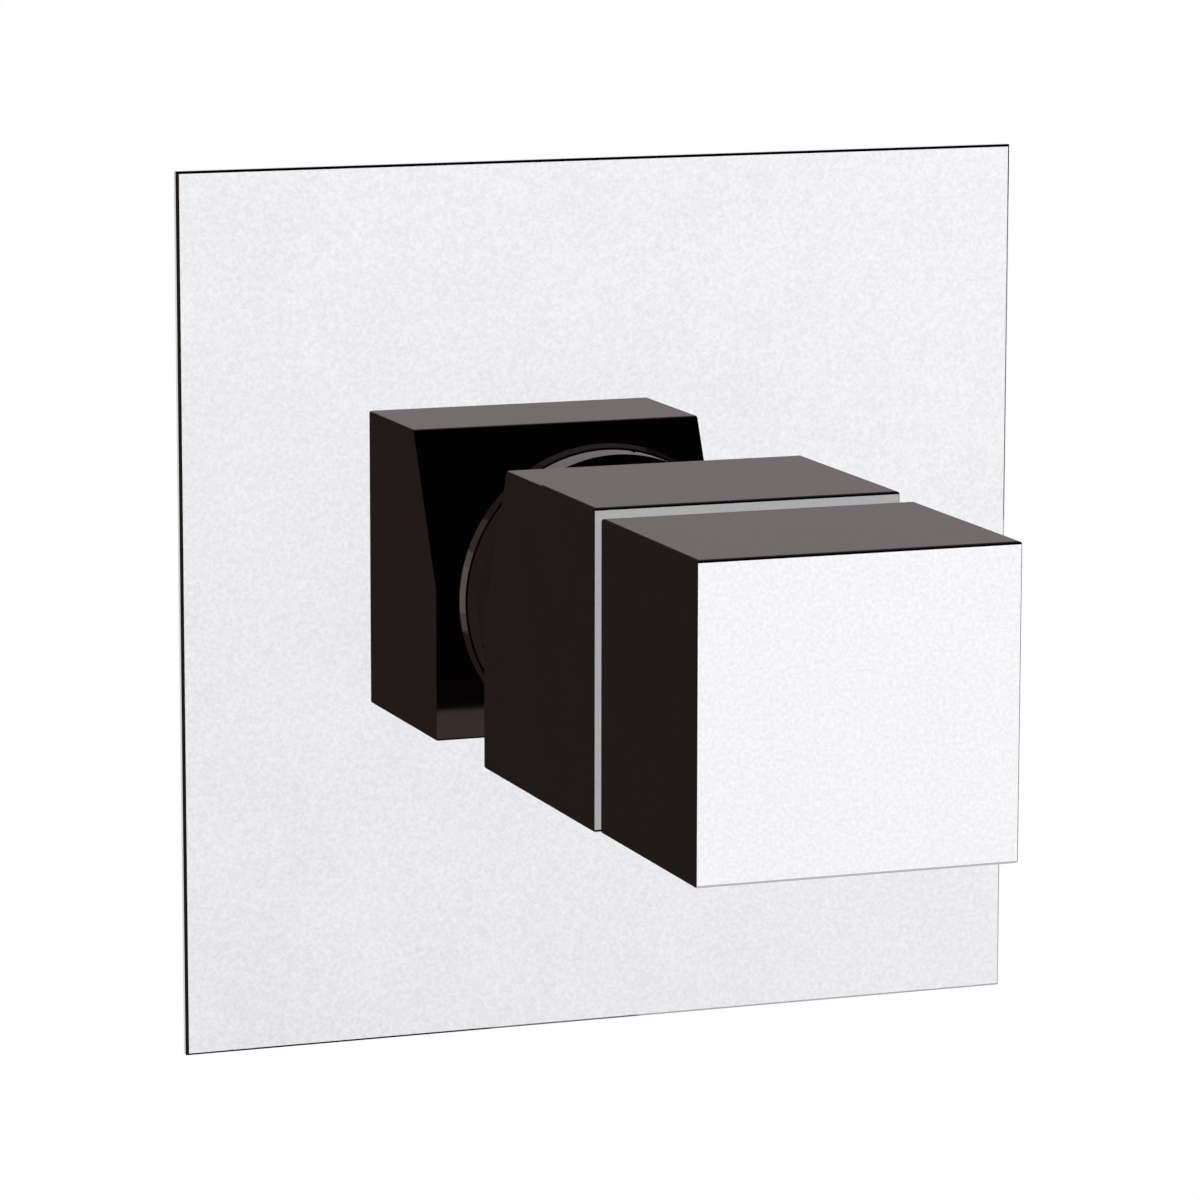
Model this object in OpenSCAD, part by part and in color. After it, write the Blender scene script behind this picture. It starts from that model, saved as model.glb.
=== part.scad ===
// Self-closing lever tap for a shower, built into the wall.
// A square lever turns for temperature and lifts for flow, and the button in its front end
// starts the timed flow through a rod along the lever's middle.
// Frame: origin on the tap axis in the wall's surface, +X right, +Z up, +Y into the wall.
// Every piece is drawn facing the user, x right, y up and z out of the wall, then turned into place.

/* [Wall plate] */
// Side of the square wall plate
plate_side = 120; // [110:1:150]
// Thickness of the sheet
plate_t = 1.5; // [1.2:0.1:3]
// Plate centre, to the right of the tap axis
plate_right = 13.6; // [-15:0.1:15]
// Plate centre, below the tap axis
plate_below = 7; // [-15:0.1:15]
// Thickness of the foam seal on the wall
seal_t = 1; // [0.8:0.1:2]
// Seal's edge, in from the plate's edge
seal_inset = 2.5; // [1.5:0.1:6]

/* [Boss] */
// Side of the square boss
boss_side = 40; // [39:0.2:44]
// How far the boss's lower half stands out of the plate
boss_proj = 28.2; // [26:0.1:32]
// How far its top edge stands out
boss_top_proj = 18.9; // [16:0.1:21]
// Grub screw that holds the boss, thread diameter
boss_grub_d = 5; // [4:0.5:6]

/* [Lever] */
// Side of the square lever block
lever_side = 39.8; // [38:0.1:44]
// Length of the lever block
lever_len = 41.2; // [38:0.1:50]
// Boss front to lever block
lever_gap = 19.2; // [18.5:0.1:24]
// How far the block's top rear edge lies in front of its rear face
lever_slope = 9; // [5:0.1:10]
// Skirt ring's diameter
ring_d = 39.4; // [38.6:0.1:42]
// Skirt ring's thickness
ring_t = 1.2; // [1:0.1:2]
// Skirt drum's diameter
drum_d = 38; // [36:0.1:38.4]
// Skirt drum's length
drum_t = 5; // [4.5:0.1:6]
// Side of the lever's square stem
stem_w = 8; // [7.6:0.1:8.4]
// Lever block's grub screw, thread diameter
lever_grub_d = 6; // [5:0.5:7]
// Lift of the lever from closed to full flow, degrees
lift_angle = 25; // [20:1:26]

/* [Button] */
// Width of the button
cap_w = 40.6; // [38:0.1:44]
// Height of the button
cap_h = 38.4; // [37:0.1:44]
// Length of the button
cap_len = 32.1; // [28:0.1:40]
// Gap between lever block and button at rest
cap_gap = 3.65; // [3.4:0.05:6]
// Travel of the button
press_travel = 3; // [2.5:0.1:3]
// Wall of the button's metal shell
cap_wall = 2; // [1.5:0.1:3]
// Diameter of the push rod
rod_d = 3; // [2.6:0.1:3.2]
// Diameter of the button's guide tube
guide_d = 20; // [19:0.1:21]
// Wall of the guide tube
guide_wall = 1.8; // [1.5:0.1:2]
// Wire of the return spring
return_wire = 1.4; // [1:0.1:1.6]

/* [Cartridge] */
// Outside of the brass barrel that the boss slides on
barrel_d = 31; // [31:0.1:31.4]
// Cartridge diameter
cartridge_d = 25; // [24.6:0.1:25.4]
// Diameter of the cartridge's neck
neck_d = 17.4; // [17:0.1:17.8]
// Thickness of the moving ceramic disc
moving_disc_t = 3.2; // [3:0.1:3.6]
// Thickness of the fixed ceramic disc
fixed_disc_t = 3.4; // [3:0.1:3.8]
// Diameter of the moving ceramic disc
moving_disc_d = 15.6; // [15:0.1:15.8]
// Height of the retaining nut
nut_t = 3.5; // [3:0.1:4]

/* [Valve body] */
// Outside of the valve body
body_d = 38; // [36:0.5:44]
// Depth of the valve body behind the wall's surface
body_depth = 60; // [60:0.5:75]
// Half the thread's core diameter in the pipe sockets, 1/2 inch
pipe_r = 9.3; // [9.1:0.05:9.6]
// Depth of the thread in the pipe sockets
pipe_thread = 12; // [10:0.5:12.5]
// Tap axis to the outer end of a pipe socket
socket_reach = 36.5; // [36.5:0.5:50]
// Distance between the two fixing holes
lug_spacing = 48; // [46:0.5:60]
// Diameter of a fixing hole
lug_hole_d = 5.4; // [4.5:0.1:6]
// Diameter of the timer piston's skirt
piston_d = 17.8; // [17:0.1:18]
// Diameter of the pilot pin
pin_d = 2.6; // [2.2:0.1:2.8]
// Wire of the timer spring
timer_wire = 1.2; // [0.9:0.1:1.3]

/* [Hidden] */
$fn = 72;
eps = 0.01;
// Clearances on the radius: seated, running and free
seat_gap = 0.02;
run_gap = 0.05;
free_gap = 0.3;
edge = 0.2;

// Distances out of the wall's surface
plate_z0 = seal_t;
plate_z1 = plate_z0 + plate_t;
boss_z1 = plate_z1 + boss_proj;
boss_top_z = plate_z1 + boss_top_proj;
ring_z1 = boss_z1 + 10.1;
ring_z0 = ring_z1 - ring_t;
drum_z1 = ring_z1 + drum_t;
block_z0 = boss_z1 + lever_gap;
block_top_z = block_z0 + lever_slope;
block_z1 = block_z0 + lever_len;
cap_z0 = block_z1 + cap_gap;
cap_z1 = cap_z0 + cap_len;
pivot_z = boss_z1 - 2.7;

// Boss and barrel
boss_bore_d = barrel_d + 0.4;
mouth_z = boss_z1 - (boss_z1 - boss_top_z) * boss_bore_d / boss_side;
barrel_z1 = mouth_z - 0.4;
plate_hole_d = barrel_d + 0.8;
plate_screw_d = 3;
plate_screw_head = 5.5;
plate_screw_len = 9;
plate_screw_at = boss_side / 2 - 4.4;
boss_ring_wire = 1.5;
boss_ring_z = plate_z1 + 5.5;
boss_grub_z = plate_z1 + 13;

// Cartridge, from the shoulder under the nut down to the seat in the body
nut_d = cartridge_d + 3;
shoulder_z = barrel_z1 - nut_t;
housing_wall = 1.5;
cavity_d = cartridge_d - 2 * 1.7;
flange_z1 = shoulder_z - housing_wall - 0.2;
flange_z0 = flange_z1 - 3.6;
fork_d = neck_d - 2 * 1.5;
neck_z1 = shoulder_z + 5.5;
carrier_z1 = flange_z0 - 0.2;
carrier_z0 = carrier_z1 - 2.2;
moving_z0 = carrier_z0 - moving_disc_t;
fixed_z0 = moving_z0 - fixed_disc_t;
base_len = 8.2;
base_z0 = fixed_z0 - base_len;
base_flange_z1 = base_z0 + 4;
disc_port_x = 5.4;
disc_port_y = -2.8;
disc_out_y = 5.6;
seat_port_x = 8.7;
seat_port_y = -3;
port_d = 3.2;
seal_wire = 0.86;
seal_mid_r = 2.15;

// Lever's pivot and tail
hub_r = 5.5;
fork_gap = 0.3;
pivot_pin_d = 3;
tail_tip_r = 1.6;
tail_z = carrier_z1 + free_gap + tail_tip_r;
tail_w = stem_w - 1;
tail_len = pivot_z - tail_z;
disc_travel = tail_len * sin(lift_angle);
pocket_half = tail_tip_r + free_gap;
tail_t = 2.4;
key_wall = 1.8;
prong_gap = 3.8;
rod_bore_d = rod_d + 2 * free_gap;

// Ball dome and the skirt's seat over it
dome_r = barrel_d / 2 - 0.2;
dome_wall = 1.6;
skirt_seat_r = dome_r + 0.4;
dome_floor_z0 = neck_z1 + 0.4;
dome_floor_t = 1.5;
slot_low = stem_w / 2 + 1.2;
stem_reach = sqrt(pow(dome_r, 2) - pow(stem_w / 2, 2));
slot_high = stem_w / 2 * cos(lift_angle) + stem_reach * sin(lift_angle) + 0.5;

// Lever block
spigot_d = 26;
web_z0 = block_z0 + 12.1;
web_z1 = web_z0 + 8;
guide_bore_d = guide_d + 10;
lever_grub_z = (web_z0 + web_z1) / 2;
lever_grub_len = 12;
lever_plug_d = lever_grub_d + 2;
lever_plug_t = 1.8;

// Button
core_z0 = cap_z0 + 0.5;
cap_front_t = 2.5;
bush_z0 = web_z1 + 8;
clip_t = 1.1;
clip_w = 1.5;
clip_groove = 0.75;
core_plate_t = 4;
core_rib = 2;
rod_seat = 2.5;
core_plate_z1 = core_z0 + core_plate_t;
clip_z1 = bush_z0 - 0.1;
guide_z0 = clip_z1 - clip_t - 1.2;
return_mid_r = guide_d / 2 - guide_wall - return_wire / 2 - 0.7;

// Valve body
barrel_z0 = base_z0 + 1;
inlet_z = base_z0 - 13;
seat_z = base_z0 - 24;
outlet_z = seat_z - 7;
chamber_d = 24;
mix_bore_d = 8;
arm_d = 28;
arm_end = 24;
socket_male_d = 22;
socket_male_len = 10;
socket_body_d = 27;
socket_cavity_d = 15;
strainer_h = 3;
lug_drop = 24;
lug_w = 13;
lug_t = 5;
lug_z0 = base_z0 - 10;
timer_z1 = seat_z - 12;
body_z0 = -body_depth;
plug_thread_d = 27;
plug_thread_len = 7;
timer_z0 = body_z0 + plug_thread_len;
timer_bore_d = piston_d + 0.2;
timer_floor_t = 2;
timer_hole_d = 0.8;
plug_hex_t = 4;
plug_hex_d = body_d - 2;
plug_recess_d = plug_thread_d / 2 + 0.5;
plug_recess_t = plug_thread_len * 0.4;
plug_ring_wire = 1.5;
plug_ring_z = body_z0 + 2.1;
washer_t = 2;
washer_d = mix_bore_d + 6;
nose_d = mix_bore_d - 2;
nose_z1 = seat_z - 0.6;
head_d = washer_d + 2;
head_t = 2.5;
lip_gap = 0.1;
lip_t = 1.6;
lip_w = 1;
lip_inset = 1.5;
washer_z1 = seat_z - 0.3;
piston_head_z1 = washer_z1 - washer_t;
piston_skirt_z1 = timer_z1 - 1.5;
piston_z0 = piston_skirt_z1 - 4.5;
piston_bore_d = 12.4;
piston_bore_z1 = piston_head_z1 - 3.2;
timer_mid_r = piston_bore_d / 2 - timer_wire / 2 - 0.35;
pin_z1 = pivot_z - rod_d / 2 - free_gap;

// Shared shapes

// Turns a piece that is drawn facing the user into the part's frame
module tap_frame() rotate([90, 0, 0]) children();

// Lays a shape that is drawn along z along x instead
module along_x() rotate([0, 90, 0]) children();

// Round bar along z
module bar(d, z0, z1) translate([0, 0, z0]) cylinder(d=d, h=z1 - z0);

// Round tube along z
module tube(d, bore, z0, z1) {
    difference() {
        bar(d, z0, z1);
        bar(bore, z0 - eps, z1 + eps);
    }
}

// Upright block along z, centred on the axis
module block(w, h, z0, z1) translate([-w / 2, -h / 2, z0]) cube([w, h, z1 - z0]);

// Rectangle with its corners cut at 45 degrees
function cut_rect(w, h, c) = [
    [c - w / 2, -h / 2], [w / 2 - c, -h / 2], [w / 2, c - h / 2], [w / 2, h / 2 - c],
    [w / 2 - c, h / 2], [c - w / 2, h / 2], [-w / 2, h / 2 - c], [-w / 2, c - h / 2]];

// Block along z with its four long edges cut
module cut_block(w, h, z0, z1, c) {
    translate([0, 0, z0]) linear_extrude(z1 - z0) polygon(cut_rect(w, h, c));
}

// Side view, points as [y, z], drawn out along x
module side_view(w, points) rotate([90, 0, 90]) linear_extrude(w, center=true) polygon(points);

// O-ring about z
module o_ring(mid_r, wire, z) {
    translate([0, 0, z]) rotate_extrude() translate([mid_r, 0]) circle(d=wire, $fn=24);
}

// Curved slot: part of a ring, from angle a0 to a1
module ring_slot(mid_r, w, a0, a1, h) {
    steps = 6;
    reach = 3 * mid_r;
    fan = [for (i = [0:steps]) let (a = a0 + (a1 - a0) * i / steps) reach * [cos(a), sin(a)]];
    linear_extrude(h) intersection() {
        difference() {
            circle(r=mid_r + w / 2);
            circle(r=mid_r - w / 2);
        }
        polygon(concat([[0, 0]], fan));
    }
}

// Grub screw along z, with a hexagon socket in its top end
module grub(d, z0, z1, key) {
    difference() {
        bar(d, z0, z1);
        translate([0, 0, z1 - 2.5]) cylinder(d=key, h=2.5 + eps, $fn=6);
    }
}

// Hole or channel between two points
module channel(a, b, d) {
    v = b - a;
    l = norm(v);
    translate(a) rotate([0, acos(v.z / l), atan2(v.y, v.x)]) translate([0, 0, -0.05]) cylinder(d=d, h=l + 0.1);
}

// Helical compression spring with closed ends, its wire swept ring by ring
module spring(mid_r, wire, z0, z1, turns) {
    sides = 6;
    per_turn = 14;
    closed = 1;
    n = turns * per_turn;
    lo = z0 + wire / 2;
    rise = z1 - z0 - wire - 2 * closed * wire;
    function height(t) =
        t < closed ? t * wire
        : t > turns - closed ? closed * wire + rise + (t - turns + closed) * wire
        : closed * wire + rise * (t - closed) / (turns - 2 * closed);
    function wire_point(i, j) =
        let (t = i / per_turn, a = 360 * t, b = 360 * j / sides, r = mid_r + wire / 2 * cos(b))
        [r * cos(a), r * sin(a), lo + height(t) + wire / 2 * sin(b)];
    points = [for (i = [0:n]) for (j = [0:sides - 1]) wire_point(i, j)];
    skin = [for (i = [0:n - 1]) for (j = [0:sides - 1]) for (k = [0, 1])
        let (a = i * sides + j, b = i * sides + (j + 1) % sides)
        k == 0 ? [a, b, b + sides] : [a, b + sides, a + sides]];
    ends = concat(
        [for (j = [1:sides - 2]) [0, j + 1, j]],
        [for (j = [1:sides - 2]) [n * sides, n * sides + j, n * sides + j + 1]]);
    polyhedron(points=points, faces=concat(skin, ends), convexity=6);
}

// Plate and boss

module plate_hole(z0, z1) bar(plate_hole_d, z0 - eps, z1 + eps);

module at_plate_screws() {
    for (x = [-1, 1], y = [-1, 1]) translate([x * plate_screw_at, y * plate_screw_at, 0]) children();
}

// Cone of a countersunk head, with its wide end in the plate's back face
module countersink(gap) {
    head_t = (plate_screw_head - plate_screw_d) / 2;
    d = plate_screw_head + 2 * gap;
    translate([0, 0, plate_z0]) cylinder(d1=d, d2=d - 2 * head_t, h=head_t);
}

module wall_plate() {
    color("#e9e9ec") tap_frame() difference() {
        translate([plate_right, -plate_below, 0]) block(plate_side, plate_side, plate_z0, plate_z1);
        plate_hole(plate_z0, plate_z1);
        at_plate_screws() {
            bar(plate_screw_d + 2 * run_gap, plate_z0 - eps, plate_z1 + eps);
            bar(plate_screw_head + 2 * run_gap, plate_z0 - eps, plate_z0 + eps);
            countersink(run_gap);
        }
    }
}

module plate_seal() {
    side = plate_side - 2 * seal_inset;
    color("#3a3a3c") tap_frame() difference() {
        translate([plate_right, -plate_below, 0]) block(side, side, 0, seal_t);
        plate_hole(0, seal_t);
    }
}

module boss() {
    s = boss_side / 2;
    slope = (boss_z1 - boss_top_z) / s;
    color("#b9bbbf") tap_frame() difference() {
        intersection() {
            side_view(boss_side, [
                [-s, plate_z1], [s, plate_z1], [s, boss_top_z - edge],
                [s - edge, boss_top_z + slope * edge],
                [0, boss_z1], [edge - s, boss_z1], [-s, boss_z1 - edge]]);
            cut_block(boss_side, boss_side, plate_z1, boss_z1, edge);
        }
        bar(boss_bore_d, plate_z1 - eps, boss_z1 + eps);
        at_plate_screws() bar(plate_screw_d + 2 * seat_gap, plate_z1 - eps, plate_z0 + plate_screw_len + 1);
        translate([0, 0, boss_grub_z]) rotate([90, 0, 0]) bar(boss_grub_d + 2 * seat_gap, 0, s + eps);
    }
}

module plate_screws() {
    color("#8f9296") tap_frame() at_plate_screws() difference() {
        union() {
            bar(plate_screw_d, plate_z0, plate_z0 + plate_screw_len);
            countersink(0);
        }
        translate([0, 0, plate_z0 - eps]) cylinder(d=2, h=1, $fn=6);
    }
}

module boss_o_ring() {
    color("#1d1d1f") tap_frame() o_ring(boss_bore_d / 2 - boss_ring_wire / 2 - seat_gap, boss_ring_wire, boss_ring_z);
}

module boss_grub_screw() {
    color("#8f9296") tap_frame() translate([0, 0, boss_grub_z]) rotate([90, 0, 0])
        grub(boss_grub_d, barrel_d / 2 + run_gap, boss_side / 2 - 0.3, boss_grub_d / 2);
}

// Valve body behind the wall

module at_sockets() {
    translate([0, 0, inlet_z]) rotate([0, -90, 0]) children();
    translate([0, 0, inlet_z]) rotate([0, 90, 0]) children();
    translate([0, 0, outlet_z]) rotate([-90, 0, 0]) children();
}

module fixing_lugs() {
    r = lug_w / 2;
    difference() {
        union() {
            translate([-lug_spacing / 2, -lug_drop - r, lug_z0]) cube([lug_spacing, lug_w, lug_t]);
            translate([-r, -lug_drop, lug_z0]) cube([lug_w, lug_drop, lug_t]);
            for (x = [-1, 1]) translate([x * lug_spacing / 2, -lug_drop, 0]) bar(lug_w, lug_z0, lug_z0 + lug_t);
        }
        for (x = [-1, 1]) translate([x * lug_spacing / 2, -lug_drop, 0])
            bar(lug_hole_d, lug_z0 - eps, lug_z0 + lug_t + eps);
    }
}

module valve_body() {
    color("#c9a54a") tap_frame() difference() {
        union() {
            bar(barrel_d, barrel_z0, barrel_z1);
            bar(body_d, body_z0, barrel_z0);
            at_sockets() bar(arm_d, 0, arm_end);
            fixing_lugs();
        }
        // Cartridge seat and the nut's thread
        bar(cartridge_d + 2 * run_gap, base_z0, barrel_z1 + eps);
        bar(nut_d + 2 * seat_gap, shoulder_z, barrel_z1 + eps);
        // Groove of the boss's O-ring
        translate([0, 0, boss_ring_z - boss_ring_wire / 2 - 0.2])
            tube(barrel_d + 1, boss_bore_d - 2 * boss_ring_wire - 4 * seat_gap, 0, boss_ring_wire + 0.4);
        // Mixed water, outlet chamber and the thread of the rear plug
        bar(mix_bore_d, seat_z - eps, base_z0 + eps);
        bar(chamber_d, body_z0 - eps, seat_z);
        bar(plug_thread_d + 2 * seat_gap, body_z0 - eps, timer_z0);
        // Hot and cold feeds up to the cartridge
        for (x = [-1, 1]) translate([x * seat_port_x, seat_port_y, 0]) bar(port_d + 0.4, inlet_z, base_z0 + eps);
        for (x = [-1, 1]) translate([0, 0, inlet_z]) rotate([0, x * 90, 0]) bar(10, seat_port_x - 2, arm_end);
        translate([0, 0, outlet_z]) rotate([-90, 0, 0]) bar(12, 0, arm_end);
        at_sockets() bar(socket_male_d + 2 * seat_gap, arm_end - socket_male_len - 0.5, arm_end + eps);
    }
}

module rear_plug() {
    color("#c9a54a") tap_frame() difference() {
        union() {
            bar(plug_thread_d, body_z0, timer_z0 - 0.2);
            translate([0, 0, body_z0 - plug_hex_t]) cylinder(d=plug_hex_d, h=plug_hex_t, $fn=6);
        }
        bar(plug_recess_d, timer_z0 - plug_recess_t, timer_z0);
        tube(plug_thread_d + 1, plug_thread_d - 2 * plug_ring_wire - 0.2,
            plug_ring_z - plug_ring_wire / 2 - 0.15, plug_ring_z + plug_ring_wire / 2 + 0.15);
    }
}

module plug_o_ring() {
    color("#1d1d1f") tap_frame() o_ring(plug_thread_d / 2 - plug_ring_wire / 2 - seat_gap, plug_ring_wire, plug_ring_z);
}

// A pipe socket: thread outwards, strainer and check valve in its inner end
module pipe_socket() {
    tap = socket_reach - pipe_thread;
    difference() {
        union() {
            bar(socket_male_d, arm_end - socket_male_len, arm_end + eps);
            bar(socket_body_d, arm_end, socket_reach);
            translate([0, 0, arm_end + 1.5]) cylinder(d=socket_body_d + 4, h=7, $fn=6);
        }
        bar(2 * pipe_r, tap, socket_reach + eps);
        bar(socket_cavity_d, arm_end - socket_male_len - eps, tap + eps);
    }
}

module inlet_socket_hot() color("#c9a54a") tap_frame() translate([0, 0, inlet_z]) rotate([0, -90, 0]) pipe_socket();

module inlet_socket_cold() color("#c9a54a") tap_frame() translate([0, 0, inlet_z]) rotate([0, 90, 0]) pipe_socket();

module outlet_socket() color("#c9a54a") tap_frame() translate([0, 0, outlet_z]) rotate([-90, 0, 0]) pipe_socket();

module socket_washers() {
    z = arm_end - socket_male_len - 0.5;
    color("#1d1d1f") tap_frame() at_sockets() tube(socket_male_d - 0.4, socket_cavity_d, z, z + 0.5);
}

// Dished wire strainer, shown as a cup with slots
module strainer() {
    z0 = socket_reach - pipe_thread - strainer_h;
    d = socket_cavity_d - 2 * run_gap;
    difference() {
        bar(d, z0, z0 + strainer_h);
        bar(d - 2, z0 + 1, z0 + strainer_h + eps);
        for (i = [0:5]) rotate([0, 0, 30 * i]) translate([0, 0, z0 - eps]) block(d - 4, 0.8, 0, 1 + 2 * eps);
    }
}

// Check valve: sleeve, cross and poppet in one cartridge
module check_valve() {
    z0 = arm_end - socket_male_len + 0.2;
    z1 = socket_reach - pipe_thread - strainer_h - 0.2;
    d = socket_cavity_d - 2 * run_gap;
    union() {
        difference() {
            bar(d, z0, z1);
            bar(d - 3, z0 - eps, z1 - 3);
            bar(d - 6, z0, z1 + eps);
        }
        block(d - 2, 1.6, z0, z0 + 2);
        block(1.6, d - 2, z0, z0 + 2);
        bar(3, z0, z1 - 3);
        translate([0, 0, z1 - 5]) cylinder(d1=d - 5, d2=d - 8, h=3);
    }
}

module at_inlet(side) tap_frame() translate([0, 0, inlet_z]) rotate([0, side * 90, 0]) children();

module strainer_hot() color("#9b9da0") at_inlet(-1) strainer();

module strainer_cold() color("#9b9da0") at_inlet(1) strainer();

module check_valve_hot() color("#dcdcd6") at_inlet(-1) check_valve();

module check_valve_cold() color("#dcdcd6") at_inlet(1) check_valve();

// Cartridge, held down by the nut

module retaining_nut() {
    color("#c9a54a") tap_frame() difference() {
        tube(nut_d, neck_d + 2 * run_gap + 0.3, shoulder_z, barrel_z1);
        for (a = [0:60:300]) rotate([0, 0, a]) translate([nut_d / 2 - 1.6, 0, barrel_z1 - 2])
            block(2, 2.4, 0, 2 + eps);
    }
}

module cartridge_housing() {
    color("#e4e1d8") tap_frame() difference() {
        union() {
            bar(cartridge_d, base_flange_z1, shoulder_z);
            bar(neck_d, shoulder_z - eps, neck_z1);
        }
        bar(cavity_d, base_flange_z1 - eps, shoulder_z - housing_wall);
        bar(fork_d + 4 * run_gap, shoulder_z - housing_wall - eps, neck_z1 + eps);
    }
}

// Places of the three ports on the fixed disc and on the seat: hot, cold, mixed
disc_ports = [[-disc_port_x, disc_port_y], [disc_port_x, disc_port_y], [0, disc_out_y]];
seat_ports = [[-seat_port_x, seat_port_y], [seat_port_x, seat_port_y], [0, 2.2]];

module at_disc_ports() for (p = disc_ports) translate([p.x, p.y, 0]) children();

module at_inlet_ports() for (i = [0, 1]) translate([seat_ports[i].x, seat_ports[i].y, 0]) children();

module seal_groove(z0) tube(2 * seal_mid_r + seal_wire + 0.1, 2 * seal_mid_r - seal_wire - 0.1, z0, z0 + seal_wire);

module cartridge_base() {
    mix_z1 = base_z0 + 4;
    color("#e4e1d8") tap_frame() difference() {
        union() {
            bar(cartridge_d, base_z0, base_flange_z1);
            bar(cavity_d - 2 * run_gap, base_flange_z1 - eps, fixed_z0);
        }
        for (i = [0, 1]) channel([seat_ports[i].x, seat_ports[i].y, base_z0],
            [disc_ports[i].x, disc_ports[i].y, fixed_z0], port_d);
        channel([seat_ports[2].x, seat_ports[2].y, mix_z1 - 1], [disc_ports[2].x, disc_ports[2].y, fixed_z0], port_d);
        bar(mix_bore_d, base_z0 - eps, mix_z1);
        bar(pin_d + 2 * free_gap, base_z0, fixed_z0 + eps);
        translate([0, 0, fixed_z0 - seal_wire]) at_disc_ports() seal_groove(0);
        at_inlet_ports() seal_groove(base_z0);
        bar(pin_d + 3, fixed_z0 - 1.4, fixed_z0 + eps);
    }
}

module base_o_rings() {
    color("#1d1d1f") tap_frame() at_inlet_ports() o_ring(seal_mid_r, seal_wire, base_z0 + seal_wire / 2);
}

module disc_seals() {
    color("#1d1d1f") tap_frame() at_disc_ports() o_ring(seal_mid_r, seal_wire, fixed_z0 - seal_wire / 2);
}

module pin_seal() {
    color("#1d1d1f") tap_frame() o_ring(pin_d / 2 + run_gap + 0.6, 1.2, fixed_z0 - 0.7);
}

module fixed_disc() {
    color("#f4f2ec") tap_frame() difference() {
        bar(cavity_d - 4 * run_gap, fixed_z0, moving_z0);
        translate([0, 0, fixed_z0 - eps]) {
            h = fixed_disc_t + 2 * eps;
            mid_r = norm(disc_ports[0]);
            ring_slot(mid_r, port_d, 180, 232, h);
            ring_slot(mid_r, port_d, 308, 360, h);
            ring_slot(disc_out_y, port_d, 62, 118, h);
        }
        bar(pin_d + 2 * free_gap, fixed_z0 - eps, moving_z0 + eps);
    }
}

// The lever's fork turns in the cartridge's neck

module lever_fork() {
    slot_w = stem_w + 2 * fork_gap;
    low = disc_travel + pocket_half + key_wall + free_gap;
    high = pocket_half + key_wall + free_gap;
    color("#d8d4c6") tap_frame() difference() {
        union() {
            bar(cavity_d - 4 * run_gap, flange_z0, flange_z1);
            bar(fork_d, flange_z1 - eps, pivot_z + 3.5);
        }
        translate([-slot_w / 2, -low, flange_z0 - eps]) cube([slot_w, low + high, flange_z1 - flange_z0 + 2 * eps]);
        block(slot_w, fork_d + 1, flange_z1, pivot_z + 4);
        translate([0, 0, pivot_z]) along_x() bar(pivot_pin_d + 2 * seat_gap, -fork_d, fork_d);
    }
}

module pivot_pins() {
    z0 = prong_gap / 2 + 0.3;
    color("#8f9296") tap_frame() translate([0, 0, pivot_z]) for (side = [-1, 1])
        rotate([0, side * 90, 0]) bar(pivot_pin_d, z0, fork_d / 2 - 0.4);
}

module ball_dome() {
    color("#b9bbbf") tap_frame() difference() {
        union() {
            intersection() {
                translate([0, 0, pivot_z]) sphere(r=dome_r);
                bar(2 * dome_r + 1, pivot_z, pivot_z + dome_r + 1);
            }
            bar(2 * dome_r, dome_floor_z0, pivot_z + eps);
        }
        difference() {
            union() {
                translate([0, 0, pivot_z]) sphere(r=dome_r - dome_wall);
                bar(2 * (dome_r - dome_wall), dome_floor_z0 - eps, pivot_z);
            }
            bar(2 * dome_r, dome_floor_z0 - 2 * eps, dome_floor_z0 + dome_floor_t);
        }
        bar(fork_d + 2 * seat_gap, dome_floor_z0 - eps, dome_floor_z0 + dome_floor_t + eps);
        translate([-stem_w / 2 - 0.5, -slot_low, pivot_z + 6]) cube([stem_w + 1, slot_low + slot_high, dome_r]);
    }
}

// The lever's tail slides the carrier and the moving ceramic disc

module disc_slot(z0, z1) {
    r = pin_d / 2 + free_gap + 0.2;
    off = disc_travel / 2;
    translate([-r, -off - r, z0 - eps]) cube([2 * r, 2 * (off + r), z1 - z0 + 2 * eps]);
}

module disc_carrier() {
    off = disc_travel / 2;
    color("#d8d4c6") tap_frame() difference() {
        union() {
            translate([0, off, 0]) bar(moving_disc_d, carrier_z0, carrier_z1);
            translate([-stem_w / 2 - fork_gap + 0.1, -pocket_half - key_wall, carrier_z1 - eps])
                cube([stem_w + 2 * fork_gap - 0.2, 2 * (pocket_half + key_wall), flange_z1 - 0.2 - carrier_z1]);
        }
        block(stem_w + 1, 2 * pocket_half, carrier_z1, flange_z1);
        translate([0, off, 0]) disc_slot(carrier_z0, flange_z1);
    }
}

module moving_disc() {
    off = disc_travel / 2;
    color("#f4f2ec") tap_frame() translate([0, off, 0]) difference() {
        bar(moving_disc_d, moving_z0, carrier_z0);
        disc_slot(moving_z0, carrier_z0);
        translate([0, 0, moving_z0 - eps]) ring_slot(5.8, 1.9, -20, 200, 1.6);
    }
}

// Lever

module lever_stem() {
    color("#9b9da0") tap_frame() difference() {
        union() {
            block(stem_w, stem_w, pivot_z, web_z1);
            translate([0, 0, pivot_z]) along_x() bar(2 * hub_r, -stem_w / 2, stem_w / 2);
            block(tail_w, tail_t, tail_z, pivot_z);
            translate([0, 0, tail_z]) along_x() bar(2 * tail_tip_r, -tail_w / 2, tail_w / 2);
        }
        block(prong_gap, 2 * hub_r + 1, tail_z - tail_tip_r - 1, pivot_z + 1);
        bar(rod_bore_d, pivot_z, web_z1 + eps);
        translate([0, 0, pivot_z]) along_x() bar(pivot_pin_d + 2 * run_gap, -stem_w, stem_w);
    }
}

module skirt_seat() translate([0, 0, pivot_z]) sphere(r=skirt_seat_r);

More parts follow.
